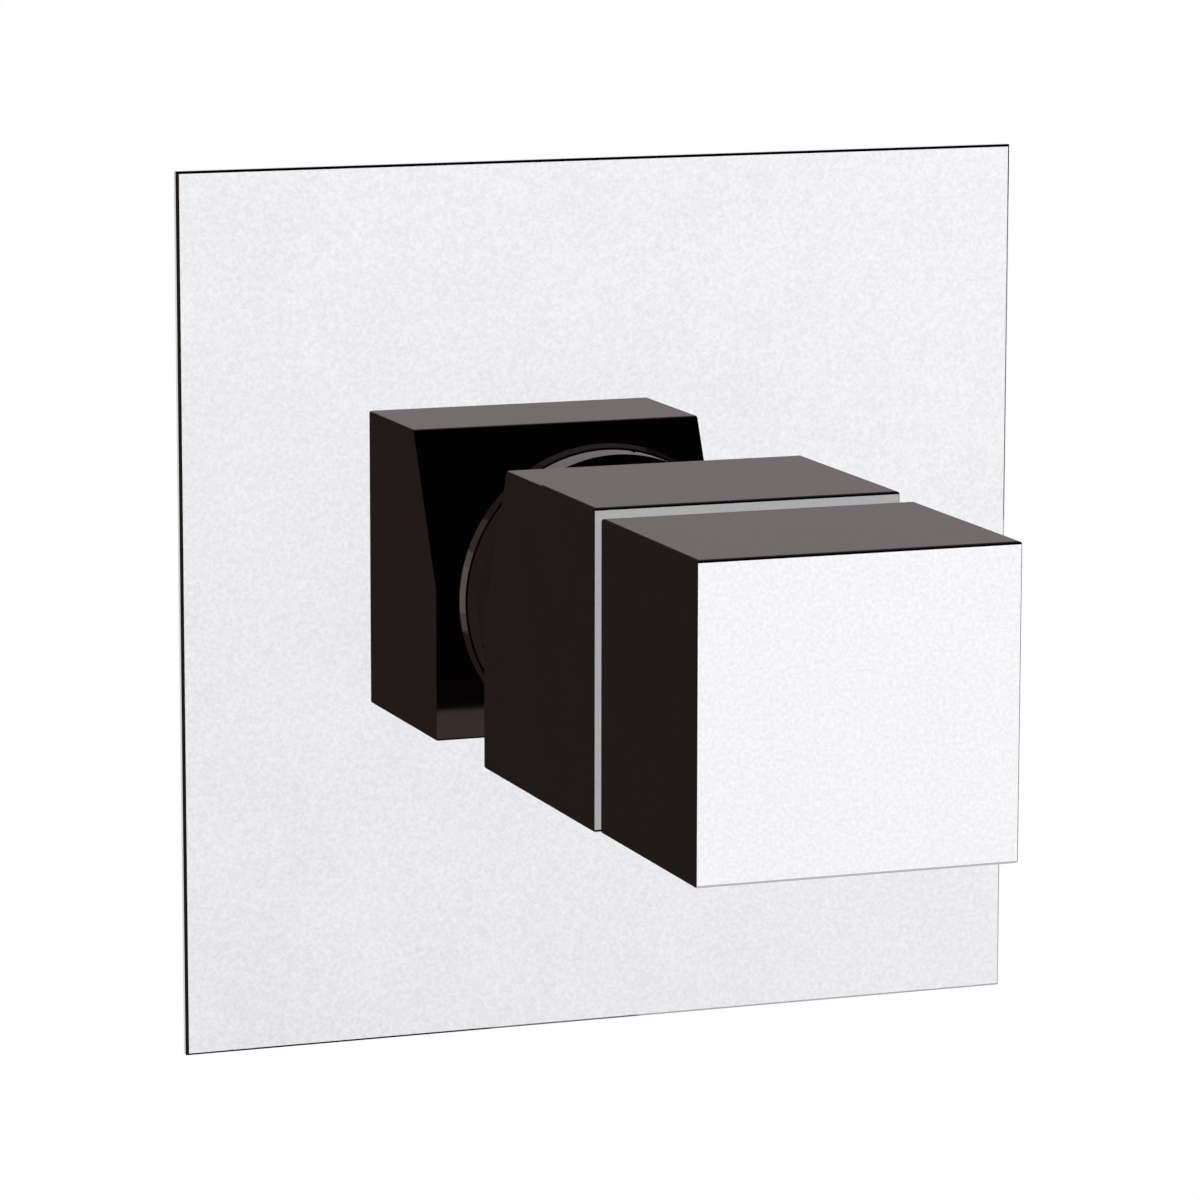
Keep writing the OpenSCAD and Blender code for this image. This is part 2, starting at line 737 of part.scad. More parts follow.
module skirt_ring() {
    color("#c9cbcf") tap_frame() difference() {
        bar(ring_d, ring_z0, ring_z1);
        skirt_seat();
    }
}

module skirt_drum() {
    color("#b9bbbf") tap_frame() difference() {
        union() {
            bar(drum_d, ring_z1, drum_z1);
            bar(spigot_d, drum_z1 - eps, web_z0);
        }
        skirt_seat();
        block(stem_w + 2 * run_gap, stem_w + 2 * run_gap, ring_z1, web_z0 + eps);
    }
}

module lever_block() {
    s = lever_side / 2;
    slope = lever_slope / s;
    color("#b9bbbf") tap_frame() difference() {
        intersection() {
            side_view(lever_side, [
                [edge - s, block_z0], [0, block_z0], [s - edge, block_top_z - slope * edge],
                [s, block_top_z + edge], [s, block_z1 - edge], [s - edge, block_z1],
                [edge - s, block_z1], [-s, block_z1 - edge], [-s, block_z0 + edge]]);
            cut_block(lever_side, lever_side, block_z0, block_z1, edge);
        }
        bar(spigot_d + 2 * seat_gap, block_z0 - eps, web_z0);
        block(stem_w + 2 * run_gap, stem_w + 2 * run_gap, web_z0 - eps, web_z1 + eps);
        bar(guide_bore_d, web_z1, block_z1 + eps);
        translate([0, 0, lever_grub_z]) rotate([90, 0, 0]) {
            bar(lever_grub_d + 2 * seat_gap, 0, s);
            bar(lever_plug_d, s - lever_plug_t - 0.2, s + eps);
        }
    }
}

module lever_grub_screw() {
    z0 = stem_w / 2 + run_gap;
    color("#8f9296") tap_frame() translate([0, 0, lever_grub_z]) rotate([90, 0, 0])
        grub(lever_grub_d, z0, z0 + lever_grub_len, lever_grub_d / 2);
}

module grub_plug() {
    s = lever_side / 2;
    color("#c9cbcf") tap_frame() translate([0, 0, lever_grub_z]) rotate([90, 0, 0])
        bar(lever_plug_d - 2 * seat_gap, s - lever_plug_t, s);
}

module guide_bush() {
    color("#e4e1d8") tap_frame() tube(guide_bore_d - 2 * seat_gap, guide_d + 2 * run_gap, bush_z0, block_z1 - edge);
}

module return_spring() {
    color("#9b9da0") tap_frame() spring(return_mid_r, return_wire, web_z1 + 0.1, core_z0 - 0.1, 8);
}

// Button

module push_cap() {
    color("#e9e9ec") tap_frame() difference() {
        intersection() {
            side_view(cap_w, [
                [edge - cap_h / 2, cap_z0], [cap_h / 2 - edge, cap_z0], [cap_h / 2, cap_z0 + edge],
                [cap_h / 2, cap_z1 - edge], [cap_h / 2 - edge, cap_z1], [edge - cap_h / 2, cap_z1],
                [-cap_h / 2, cap_z1 - edge], [-cap_h / 2, cap_z0 + edge]]);
            cut_block(cap_w, cap_h, cap_z0, cap_z1, edge);
        }
        block(cap_w - 2 * cap_wall, cap_h - 2 * cap_wall, cap_z0 - eps, cap_z1 - cap_front_t);
    }
}

// Moulded core: a ribbed box that fills the shell, on the tube that guides the button
module button_core() {
    w = cap_w - 2 * cap_wall - 2 * run_gap;
    h = cap_h - 2 * cap_wall - 2 * run_gap;
    z1 = cap_z1 - cap_front_t - 0.1;
    color("#55565a") tap_frame() difference() {
        union() {
            block(w, h, core_z0, z1);
            bar(guide_d, guide_z0, core_z0 + eps);
        }
        for (x = [-1, 1], y = [-1, 1]) translate([x * w / 4, y * h / 4, 0])
            block(w / 2 - 1.5 * core_rib, h / 2 - 1.5 * core_rib, core_plate_z1, z1 + eps);
        bar(guide_d - 2 * guide_wall, guide_z0 - eps, core_z0);
        bar(rod_d + 2 * seat_gap, core_z0 - eps, core_z0 + rod_seat);
        tube(guide_d + 1, guide_d - 2 * clip_groove - 0.1, clip_z1 - clip_t - 0.1, clip_z1 + 0.05);
    }
}

module retaining_clip() {
    color("#8f9296") tap_frame() difference() {
        tube(guide_d + 2 * clip_w, guide_d - 2 * clip_groove, clip_z1 - clip_t, clip_z1);
        translate([-clip_w, 0, clip_z1 - clip_t - eps]) cube([2 * clip_w, guide_d, clip_t + 2 * eps]);
    }
}

module push_rod() {
    color("#9b9da0") tap_frame() union() {
        translate([0, 0, pivot_z]) sphere(d=rod_d);
        bar(rod_d, pivot_z, core_z0 + rod_seat - 0.1);
    }
}

// Timer: the rod presses the pilot pin, which pushes the piston off its seat

module pilot_pin() {
    color("#9b9da0") tap_frame() bar(pin_d, nose_z1, pin_z1);
}

module timer_piston() {
    color("#55565a") tap_frame() difference() {
        union() {
            bar(nose_d, piston_head_z1 - eps, nose_z1);
            bar(head_d, piston_head_z1 - head_t, piston_head_z1);
            bar(piston_bore_d + 2.6, piston_z0, piston_head_z1 - head_t + eps);
            bar(piston_d, piston_z0, piston_skirt_z1);
        }
        bar(piston_bore_d, piston_z0 - eps, piston_bore_z1);
        tube(piston_d + 1, piston_d - 2 * lip_w, piston_z0 + lip_inset - lip_gap, piston_z0 + lip_inset + lip_t + lip_gap);
    }
}

module seat_washer() {
    color("#1d1d1f") tap_frame() tube(washer_d, nose_d + 2 * seat_gap, piston_head_z1, washer_z1);
}

module piston_seal() {
    z0 = piston_z0 + lip_inset;
    color("#1d1d1f") tap_frame() tube(piston_d + 2 * run_gap, piston_d - 2 * lip_w + 2 * run_gap, z0, z0 + lip_t);
}

module timer_cylinder() {
    color("#dcdcd6") tap_frame() difference() {
        bar(chamber_d - 2 * run_gap, timer_z0, timer_z1);
        bar(timer_bore_d, timer_z0 + timer_floor_t, timer_z1 + eps);
        bar(timer_hole_d, timer_z0 - eps, timer_z0 + timer_floor_t + eps);
    }
}

module timer_spring() {
    color("#9b9da0") tap_frame()
        spring(timer_mid_r, timer_wire, timer_z0 + timer_floor_t + 0.1, piston_bore_z1 - 0.1, 6);
}

wall_plate();
plate_seal();
boss();
plate_screws();
boss_o_ring();
boss_grub_screw();
valve_body();
rear_plug();
plug_o_ring();
retaining_nut();
cartridge_housing();
cartridge_base();
base_o_rings();
disc_seals();
pin_seal();
fixed_disc();
inlet_socket_hot();
inlet_socket_cold();
outlet_socket();
socket_washers();
strainer_hot();
strainer_cold();
check_valve_hot();
check_valve_cold();
timer_cylinder();
lever_fork();
pivot_pins();
ball_dome();
disc_carrier();
moving_disc();
lever_stem();
skirt_ring();
skirt_drum();
lever_block();
lever_grub_screw();
grub_plug();
guide_bush();
return_spring();
push_cap();
button_core();
retaining_clip();
push_rod();
pilot_pin();
timer_piston();
seat_washer();
piston_seal();
timer_spring();
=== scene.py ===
"""Looks of the self-closing lever tap: its finishes, its dressed pieces and the studio around it."""

import logging
import math
from dataclasses import dataclass, replace
from enum import Enum
from typing import Callable, Optional, Sequence

import bmesh
import bpy
from mathutils import Matrix, Quaternion, Vector

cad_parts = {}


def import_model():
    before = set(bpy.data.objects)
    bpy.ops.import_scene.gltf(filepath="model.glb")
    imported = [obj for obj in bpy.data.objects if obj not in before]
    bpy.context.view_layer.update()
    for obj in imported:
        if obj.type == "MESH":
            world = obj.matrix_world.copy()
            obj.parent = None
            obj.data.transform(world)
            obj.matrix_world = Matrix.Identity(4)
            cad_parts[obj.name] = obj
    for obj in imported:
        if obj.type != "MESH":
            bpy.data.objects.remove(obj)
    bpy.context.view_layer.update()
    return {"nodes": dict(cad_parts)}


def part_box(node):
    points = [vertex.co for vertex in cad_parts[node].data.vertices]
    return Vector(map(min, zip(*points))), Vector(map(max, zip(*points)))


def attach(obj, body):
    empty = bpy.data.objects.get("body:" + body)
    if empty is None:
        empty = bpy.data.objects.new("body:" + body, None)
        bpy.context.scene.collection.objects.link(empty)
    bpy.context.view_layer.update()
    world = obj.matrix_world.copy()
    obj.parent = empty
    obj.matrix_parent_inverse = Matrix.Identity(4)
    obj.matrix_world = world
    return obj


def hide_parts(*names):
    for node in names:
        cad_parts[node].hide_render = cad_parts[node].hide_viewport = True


LOG = logging.getLogger("tap")
MM = 0.001
# Object coordinates are in metres, so a texture's scale of 1000 has features of about 1 mm
PER_MM = 1000.0
# Broad patches, over which the roughness changes
PATCH_MM = 14.0
# A cast skin's lumps, in grains
LUMP_GRAINS = 5
# How fast a turned pattern changes round the piece, 1 being how fast it changes from ring to ring
ROUND_THE_PIECE = 0.02
# How strong each finer layer of a noise is, against the one before
FINER_LAYER = 0.55

# Points nearer than this are one point, and a cut passes through points nearer than the second
SAME_POINT = 1e-6
ON_CUT = 1e-7
# The least angles between faces, in degrees, that count as an edge: at slopes, hexagons, rims and corners
SLOPE_ANGLE = 15.0
HEXAGON_ANGLE = 30.0
RIM_ANGLE = 40.0
CORNER_ANGLE = 60.0
# How far off a place may be and still count: on a sheet's rim, in a plane, in a bore, at a round edge,
# and inside a round side, whose facets lie within its radius
SHEET_SLACK = 0.01 * MM
PLANE_SLACK = 0.02 * MM
BORE_SLACK = 0.03 * MM
EDGE_SLACK = 0.05 * MM
ROUND_SLACK = 0.1 * MM
# The least Y of a unit normal that points to the user or away
SQUARE_ON = 0.99

# Directions that cards and sockets face, as the user stands before the tap
LEFT = (-1, 0, 0)
RIGHT = (1, 0, 0)
FRONT = (0, -1, 0)
BACK = (0, 1, 0)
DOWN = (0, 0, -1)
UP = (0, 0, 1)

EdgeTest = Callable[[bmesh.types.BMEdge], bool]


def linear(hex_colour: str) -> tuple[float, float, float, float]:
    """Turns an sRGB hex colour into the linear colour that shaders take.

    Args:
        hex_colour: The colour as "#rrggbb".

    Returns:
        Linear red, green and blue, and an alpha of 1.
    """
    parts = [int(hex_colour[i : i + 2], 16) / 255 for i in (1, 3, 5)]
    curve = [p / 12.92 if p <= 0.04045 else ((p + 0.055) / 1.055) ** 2.4 for p in parts]
    return (curve[0], curve[1], curve[2], 1.0)


def add_node(
    tree: bpy.types.NodeTree,
    kind: str,
    settings: Optional[dict] = None,
    links: Optional[dict] = None,
) -> bpy.types.Node:
    """Adds a node to a tree, with its settings and the links into it.

    Args:
        tree: The node tree.
        kind: Blender's name of the node type.
        settings: Input values by socket name or number, and properties by name.
        links: Output sockets of other nodes, by the input that each goes to.

    Returns:
        The new node.
    """
    node = tree.nodes.new(kind)
    for key, value in (settings or {}).items():
        if isinstance(key, str) and hasattr(node, key) and key not in node.inputs:
            setattr(node, key, value)
    for key, value in (settings or {}).items():
        if isinstance(key, int) or key in node.inputs:
            node.inputs[key].default_value = value
    for key, socket in (links or {}).items():
        tree.links.new(socket, node.inputs[key])
    return node


def blank_material(name: str) -> bpy.types.Material:
    """Makes a material with an empty node tree.

    Args:
        name: Its name.

    Returns:
        The material.
    """
    material = bpy.data.materials.new(name)
    material.use_nodes = True
    material.node_tree.nodes.clear()
    return material


def object_from(bm: bmesh.types.BMesh, name: str) -> bpy.types.Object:
    """Turns a bmesh into an object in the scene, at the origin.

    Args:
        bm: The mesh. It is freed.
        name: The object's name.

    Returns:
        The object.
    """
    mesh = bpy.data.meshes.new(name)
    bm.to_mesh(mesh)
    bm.free()
    made = bpy.data.objects.new(name, mesh)
    bpy.context.scene.collection.objects.link(made)
    return made


class Surface(Enum):
    """How a surface was made, which decides its pattern."""

    POLISHED = "polished"
    SATIN = "satin"
    CAST = "cast"
    TURNED = "turned"
    MOULDED = "moulded"
    FOAM = "foam"
    LAPPED = "lapped"


class Axis(Enum):
    """The direction that a turned piece was turned about."""

    X = 0
    Y = 1
    Z = 2


@dataclass(frozen=True)
class Finish:
    """One real material and how its surface was made.

    Attributes:
        name: The material's name.
        slot: The record's material slot; not used.
        surface: How the surface was made.
        colour: Its main colour.
        low_colour: The colour in its pits, grooves or darker patches.
        metallic: 1 for a metal.
        roughness: Its roughness at the smoothest.
        rougher: Its roughness at the roughest.
        grain_mm: Size of the pattern.
        relief_mm: Height of the pattern.
        axis: The direction that it was turned about.
        ior: Index of refraction of a material that isn't a metal.
    """

    name: str
    slot: str
    surface: Surface
    colour: str
    low_colour: str
    metallic: float
    roughness: float
    rougher: float
    grain_mm: float
    relief_mm: float
    axis: Axis = Axis.Y
    ior: float = 1.5

    def material(self) -> bpy.types.Material:
        """Gives the finish as a material, built the first time it is asked for."""
        found = bpy.data.materials.get(self.name)
        return found if found and found.get("built") else self._build()

    def _build(self) -> bpy.types.Material:
        """Builds the node tree.

        Returns:
            The finished material.
        """
        material = blank_material(self.name)
        material["built"] = True
        tree = material.node_tree
        place = add_node(tree, "ShaderNodeTexCoord").outputs["Object"]
        pattern = self._pattern(tree, place)
        colour = add_node(
            tree,
            "ShaderNodeMix",
            {"data_type": "RGBA", 6: linear(self.low_colour), 7: linear(self.colour)},
            {0: pattern},
        )
        rough = add_node(
            tree,
            "ShaderNodeMapRange",
            {"To Min": self.rougher, "To Max": self.roughness},
            {"Value": self._patches(tree, place)},
        )
        bump = add_node(
            tree,
            "ShaderNodeBump",
            {"Strength": 1.0, "Distance": self.relief_mm * MM},
            {"Height": pattern},
        )
        settings = {"Metallic": self.metallic}
        if not self.metallic:
            settings["IOR"] = self.ior
        shader = add_node(
            tree,
            "ShaderNodeBsdfPrincipled",
            settings,
            {
                "Base Color": colour.outputs[2],
                "Roughness": rough.outputs["Result"],
                "Normal": bump.outputs["Normal"],
            },
        )
        add_node(
            tree,
            "ShaderNodeOutputMaterial",
            links={"Surface": shader.outputs["BSDF"]},
        )
        return material

    def _noise(
        self,
        tree: bpy.types.NodeTree,
        place: bpy.types.NodeSocket,
        size_mm: float,
        detail: float,
    ) -> bpy.types.NodeSocket:
        """Adds a noise with features of a real size.

        Args:
            tree: The material's node tree.
            place: Where the pattern is read.
            size_mm: The size of its features.
            detail: How many finer layers it has.

        Returns:
            The noise's value.
        """
        return add_node(
            tree,
            "ShaderNodeTexNoise",
            {"Scale": PER_MM / size_mm, "Detail": detail, "Roughness": FINER_LAYER},
            {"Vector": place},
        ).outputs["Fac"]

    def _patches(
        self, tree: bpy.types.NodeTree, place: bpy.types.NodeSocket
    ) -> bpy.types.NodeSocket:
        """Adds the broad patches that handling and uneven finishing leave."""
        return self._noise(tree, place, PATCH_MM, detail=3.0)

    def _pattern(
        self, tree: bpy.types.NodeTree, place: bpy.types.NodeSocket
    ) -> bpy.types.NodeSocket:
        """Adds the pattern that the way of making leaves.

        Args:
            tree: The material's node tree.
            place: Where the pattern is read.

        Returns:
            The pattern's height, from 0 to 1.
        """
        if self.surface is Surface.TURNED:
            return self._grooves(tree, place)
        if self.surface is Surface.FOAM:
            return add_node(
                tree,
                "ShaderNodeTexVoronoi",
                {"Scale": PER_MM / self.grain_mm},
                {"Vector": place},
            ).outputs["Distance"]
        fine = self._noise(tree, place, self.grain_mm, detail=2.0)
        if self.surface is Surface.CAST:
            coarse = self._noise(tree, place, self.grain_mm * LUMP_GRAINS, detail=3.0)
            return add_node(
                tree, "ShaderNodeMath", {"operation": "MULTIPLY"}, {0: fine, 1: coarse}
            ).outputs[0]
        return fine

    def _grooves(
        self, tree: bpy.types.NodeTree, place: bpy.types.NodeSocket
    ) -> bpy.types.NodeSocket:
        """Adds the fine rings of a turning tool, uneven from one to the next.

        Args:
            tree: The material's node tree.
            place: Where the pattern is read.

        Returns:
            The rings' height, from 0 to 1.
        """
        stretch = [ROUND_THE_PIECE] * 3
        stretch[self.axis.value] = 1.0
        along = add_node(
            tree,
            "ShaderNodeMapping",
            {"Scale": tuple(stretch)},
            {"Vector": place},
        ).outputs["Vector"]
        return self._noise(tree, along, self.grain_mm, detail=3.0)


# Chromium plate on brass, mirror-polished: it shows the studio, a little softened by the polishing haze
POLISHED_CHROME = Finish(
    "polished_chrome_plate", "chrome", Surface.POLISHED, "#c6c5c6", "#c0bfc0",
    metallic=1.0, roughness=0.012, rougher=0.03, grain_mm=9.0, relief_mm=0.0004,
)
# Chromium plate over a glass-bead blasted face: nearly white, with a fine sparkle drawn at 0.45 mm,
# as coarse as it needs to show
SATIN_CHROME = Finish(
    "satin_chrome_plate", "satin_chrome", Surface.SATIN, "#ffffff", "#e0e0e5",
    metallic=1.0, roughness=0.5, rougher=0.56, grain_mm=0.45, relief_mm=0.002,
)
# Chromium plate over a milled face, which only the gap shows, between mirror and satin in roughness. Its
# grey colour, darker than chrome, is painted shade for the gap between button and lever block
MILLED_CHROME_GAP_SHADE = Finish(
    "milled_chrome_painted_gap_shade", "chrome", Surface.SATIN, "#b1afb1", "#a5a4a6",
    metallic=1.0, roughness=0.34, rougher=0.42, grain_mm=0.45, relief_mm=0.002,
)
# Sand-cast brass with the skin left on: dull yellow, with pits that hold a darker tarnish
CAST_BRASS = Finish(
    "sand_cast_brass", "brass", Surface.CAST, "#d8b56c", "#9a763a",
    metallic=1.0, roughness=0.34, rougher=0.5, grain_mm=0.9, relief_mm=0.12,
)
# Brass turned on a lathe: bright yellow, with fine rings that stretch its highlights
TURNED_BRASS_Y = Finish(
    "turned_brass", "brass", Surface.TURNED, "#e2c27a", "#c09a55",
    metallic=1.0, roughness=0.16, rougher=0.28, grain_mm=0.35, relief_mm=0.006,
)
TURNED_BRASS_X = replace(TURNED_BRASS_Y, name="turned_brass_side", axis=Axis.X)
TURNED_BRASS_Z = replace(TURNED_BRASS_Y, name="turned_brass_upright", axis=Axis.Z)
# Nickel on turned brass, for the nut that shows in the boss's mouth when the lever is turned or lifted
PLATED_BRASS = Finish(
    "nickel_plated_brass", "brass", Surface.TURNED, "#b9b6b1", "#a09d98",
    metallic=1.0, roughness=0.16, rougher=0.28, grain_mm=0.35, relief_mm=0.006,
)
# Stainless steel turned or drawn to wire: grey, with rings or draw marks
TURNED_STEEL = Finish(
    "turned_stainless_steel", "stainless_steel", Surface.TURNED, "#bdbec0", "#96989b",
    metallic=1.0, roughness=0.2, rougher=0.34, grain_mm=0.3, relief_mm=0.004,
)
# Cap screws and grub screws, blackened by the hardening oil
BLACK_STEEL = Finish(
    "hardened_steel", "stainless_steel", Surface.CAST, "#6c6e72", "#4b4d50",
    metallic=1.0, roughness=0.35, rougher=0.45, grain_mm=0.4, relief_mm=0.01,
)
# EPDM rubber, moulded: black with a faint grey bloom
EPDM = Finish(
    "epdm_rubber", "rubber", Surface.MOULDED, "#2a2a2c", "#1c1c1e",
    metallic=0.0, roughness=0.5, rougher=0.66, grain_mm=0.5, relief_mm=0.01,
)
# Alumina, lapped flat: ivory white and glossy, with the faintest grain
ALUMINA = Finish(
    "lapped_alumina", "ceramic", Surface.LAPPED, "#f1eee4", "#e6e2d6",
    metallic=0.0, roughness=0.12, rougher=0.2, grain_mm=0.25, relief_mm=0.0005, ior=1.76,
)
# Acetal, injection-moulded: milky white with a soft sheen
ACETAL = Finish(
    "moulded_acetal", "white_plastic", Surface.MOULDED, "#e6e4dc", "#dbd8ce",
    metallic=0.0, roughness=0.36, rougher=0.48, grain_mm=0.6, relief_mm=0.008, ior=1.48,
)
# Nylon with glass fibre, injection-moulded: dark grey, with the fibres' dull mottle
GLASS_NYLON = Finish(
    "glass_filled_nylon", "dark_plastic", Surface.MOULDED, "#4d4e52", "#3c3d41",
    metallic=0.0, roughness=0.46, rougher=0.6, grain_mm=0.7, relief_mm=0.012, ior=1.53,
)
# Closed-cell polyethylene foam: matt dark grey with small cells
FOAM_SEAL = Finish(
    "closed_cell_foam", "foam", Surface.FOAM, "#47474a", "#2c2c2e",
    metallic=0.0, roughness=0.8, rougher=0.9, grain_mm=0.7, relief_mm=0.05,
)

# Every node's finish. A node that a piece replaces has it too, under the piece
NODE_FINISHES: dict[str, Finish] = {
    "wall_plate": SATIN_CHROME,
    "plate_seal": FOAM_SEAL,
    "boss": POLISHED_CHROME,
    "plate_screws": BLACK_STEEL,
    "boss_o_ring": EPDM,
    "boss_grub_screw": BLACK_STEEL,
    "valve_body": CAST_BRASS,
    "rear_plug": TURNED_BRASS_Y,
    "plug_o_ring": EPDM,
    "retaining_nut": PLATED_BRASS,
    "cartridge_housing": ACETAL,
    "cartridge_base": ACETAL,
    "base_o_rings": EPDM,
    "disc_seals": EPDM,
    "pin_seal": EPDM,
    "fixed_disc": ALUMINA,
    "inlet_socket_hot": TURNED_BRASS_X,
    "inlet_socket_cold": TURNED_BRASS_X,
    "outlet_socket": TURNED_BRASS_Z,
    "socket_washers": EPDM,
    "strainer_hot": TURNED_STEEL,
    "strainer_cold": TURNED_STEEL,
    "check_valve_hot": ACETAL,
    "check_valve_cold": ACETAL,
    "timer_cylinder": ACETAL,
    "lever_fork": TURNED_BRASS_Y,
    "pivot_pins": TURNED_STEEL,
    "ball_dome": POLISHED_CHROME,
    "disc_carrier": ACETAL,
    "moving_disc": ALUMINA,
    "lever_stem": TURNED_STEEL,
    "skirt_ring": POLISHED_CHROME,
    "skirt_drum": POLISHED_CHROME,
    "lever_block": POLISHED_CHROME,
    "lever_grub_screw": BLACK_STEEL,
    "grub_plug": POLISHED_CHROME,
    "guide_bush": ACETAL,
    "return_spring": TURNED_STEEL,
    "push_cap": POLISHED_CHROME,
    "button_core": GLASS_NYLON,
    "retaining_clip": TURNED_STEEL,
    "push_rod": TURNED_STEEL,
    "pilot_pin": TURNED_STEEL,
    "timer_piston": GLASS_NYLON,
    "seat_washer": EPDM,
    "piston_seal": EPDM,
    "timer_spring": TURNED_STEEL,
}


class Shaper:
    """Turns bmeshes into finished pieces, and finishes CAD nodes."""

    # Facets of a curved side differ by less than this
    SHARP = math.radians(12)
    # Triangles of a flat face differ by less than this
    FLAT = math.radians(0.2)

    def dress_node(self, node: str, finish: Finish) -> None:
        """Gives a CAD node its material.

        No metal mirrors it, since all of them lie inside the tap, behind pieces that aren't mirrored.

        Args:
            node: The node's name.
            finish: Its finish.
        """
        bpy.data.objects[node].visible_glossy = False
        mesh = bpy.data.objects[node].data
        mesh.materials.clear()
        mesh.materials.append(finish.material())
        LOG.info("finished node %s as %s", node, finish.name)

    def copy_of(self, node: str) -> bmesh.types.BMesh:
        """Copies a CAD node's mesh, its loose triangles merged and its flat faces made whole.

        Args:
            node: The node's name.

        Returns:
            The merged copy.
        """
        bm = bmesh.new()
        bm.from_mesh(bpy.data.objects[node].data)
        bmesh.ops.remove_doubles(bm, verts=bm.verts, dist=SAME_POINT)
        bmesh.ops.dissolve_limit(
            bm,
            angle_limit=self.FLAT,
            verts=bm.verts,
            edges=bm.edges,
            use_dissolve_boundaries=False,
        )
        bm.faces.layers.int.new("rounded")
        return bm

    def round_edges(
        self,
        bm: bmesh.types.BMesh,
        width_mm: float,
        least_angle: float,
        chosen: EdgeTest,
        segments: int = 2,
    ) -> None:
        """Rounds the sharp edges of a mesh.

        Args:
            bm: The mesh.
            width_mm: How far the rounding reaches from the edge.
            least_angle: The least angle between faces, in degrees, that counts as an edge.
            chosen: Which of those edges are rounded.
            segments: How many faces the rounding has.
        """
        limit = math.radians(least_angle)
        edges = [
            e
            for e in bm.edges
            if len(e.link_faces) == 2 and e.calc_face_angle(0) > limit and chosen(e)
        ]
        made = bmesh.ops.bevel(
            bm,
            geom=edges,
            offset=width_mm * MM,
            offset_type="OFFSET",
            affect="EDGES",
            segments=segments,
            profile=0.5,
            material=-1,
            clamp_overlap=True,
        )
        rounded = bm.faces.layers.int["rounded"]
        for face in made["faces"]:
            face[rounded] = 1

    def finish_piece(
        self,
        bm: bmesh.types.BMesh,
        name: str,
        node: str,
        body: str,
        finishes: Sequence[Finish],
        pick: Callable[[bmesh.types.BMFace], int] = lambda face: 0,
        soft_rounding: bool = False,
    ) -> bpy.types.Object:
        """Makes a mesh into a piece that rides on a body and stands for a CAD node.

        Args:
            bm: The mesh, in the row frame. It is freed.
            name: The piece's name.
            node: The CAD node that it stands for.
            body: The body that it rides on.
            finishes: Its finishes, in the order of the material indices.
            pick: Which finish each face has.
            soft_rounding: Whether its roundings are shaded as curves. On a square piece they are
                kept as facets, because the corners would bend their long reflections.

        Returns:
            The piece's object.
        """
        bm.normal_update()
        rounded = bm.faces.layers.int["rounded"]
        for face in bm.faces:
            face.smooth = True
            face.material_index = pick(face)
        for edge in bm.edges:
            made = {f[rounded] for f in edge.link_faces}
            if soft_rounding and made == {1}:
                edge.smooth = True
            else:
                edge.smooth = len(made) == 1 and edge.calc_face_angle(0) < self.SHARP
        bm.faces.layers.int.remove(rounded)
        piece = object_from(bm, name)
        for finish in finishes:
            piece.data.materials.append(finish.material())
        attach(piece, body)
        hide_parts(node)
        LOG.info("made piece %s with %d faces", name, len(piece.data.polygons))
        return piece


def middle(edge: bmesh.types.BMEdge) -> Vector:
    """Gives the middle of an edge."""
    return (edge.verts[0].co + edge.verts[1].co) / 2


def faces_front(face: bmesh.types.BMFace, y: float) -> bool:
    """Says whether a face lies in a plane that faces the user.

    Args:
        face: The face.
        y: The plane's place along Y.

    Returns:
        True if it does.
    """
    near = abs(face.calc_center_median().y - y) < PLANE_SLACK
    return near and abs(face.normal.y) > SQUARE_ON


@dataclass
class WallPlate:
    """The square plate and the foam behind it.

    Attributes:
        shaper: Makes the pieces.
        front_y: The plate's front face.
        edge_mm: The chamfer round the plate's front, the dark outline in the photograph.
        foam_edge_mm: How far the foam's cut edge bulges over.
    """

    shaper: Shaper
    front_y: float = -2.5 * MM
    edge_mm: float = 0.3
    foam_edge_mm: float = 0.3

    def build(self) -> None:
        """Builds both pieces, which the polished sides in front of them don't mirror.

        In the photograph those sides stay dark to their roots, beside a pale plate.
        """
        for piece in (self.plate(), self.foam()):
            piece.visible_glossy = False

    def on_rim(self, node: str, front_only: bool = False) -> EdgeTest:
        """Makes a test for the edges round the outside of a square sheet.

        Args:
            node: The sheet's node.
            front_only: Whether the rim behind is left out.

        Returns:
            The test.
        """
        lo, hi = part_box(node)

        def outside(edge: bmesh.types.BMEdge) -> bool:
            """Says whether an edge lies round the sheet."""
            at = middle(edge)
            here = not front_only or at.y < lo.y + SHEET_SLACK
            return here and min(at.x - lo.x, hi.x - at.x, at.z - lo.z, hi.z - at.z) < SHEET_SLACK

        return outside

    def plate(self) -> bpy.types.Object:
        """Makes the plate, blasted in front and bright round its sheared edge."""
        bm = self.shaper.copy_of("wall_plate")
        rim = self.on_rim("wall_plate", front_only=True)
        self.shaper.round_edges(bm, self.edge_mm, RIM_ANGLE, rim, segments=1)
        return self.shaper.finish_piece(
            bm,
            "blasted_wall_plate",
            "wall_plate",
            "fixed_body",
            (SATIN_CHROME, POLISHED_CHROME),
            lambda face: 0 if faces_front(face, self.front_y) else 1,
        )

    def foam(self) -> bpy.types.Object:
        """Makes the foam seal, its cut edge rounded over by the pressure of the plate."""
        bm = self.shaper.copy_of("plate_seal")
        rim = self.on_rim("plate_seal")
        self.shaper.round_edges(bm, self.foam_edge_mm, RIM_ANGLE, rim, segments=3)
        return self.shaper.finish_piece(bm, "foam_seal", "plate_seal", "fixed_body", (FOAM_SEAL,))


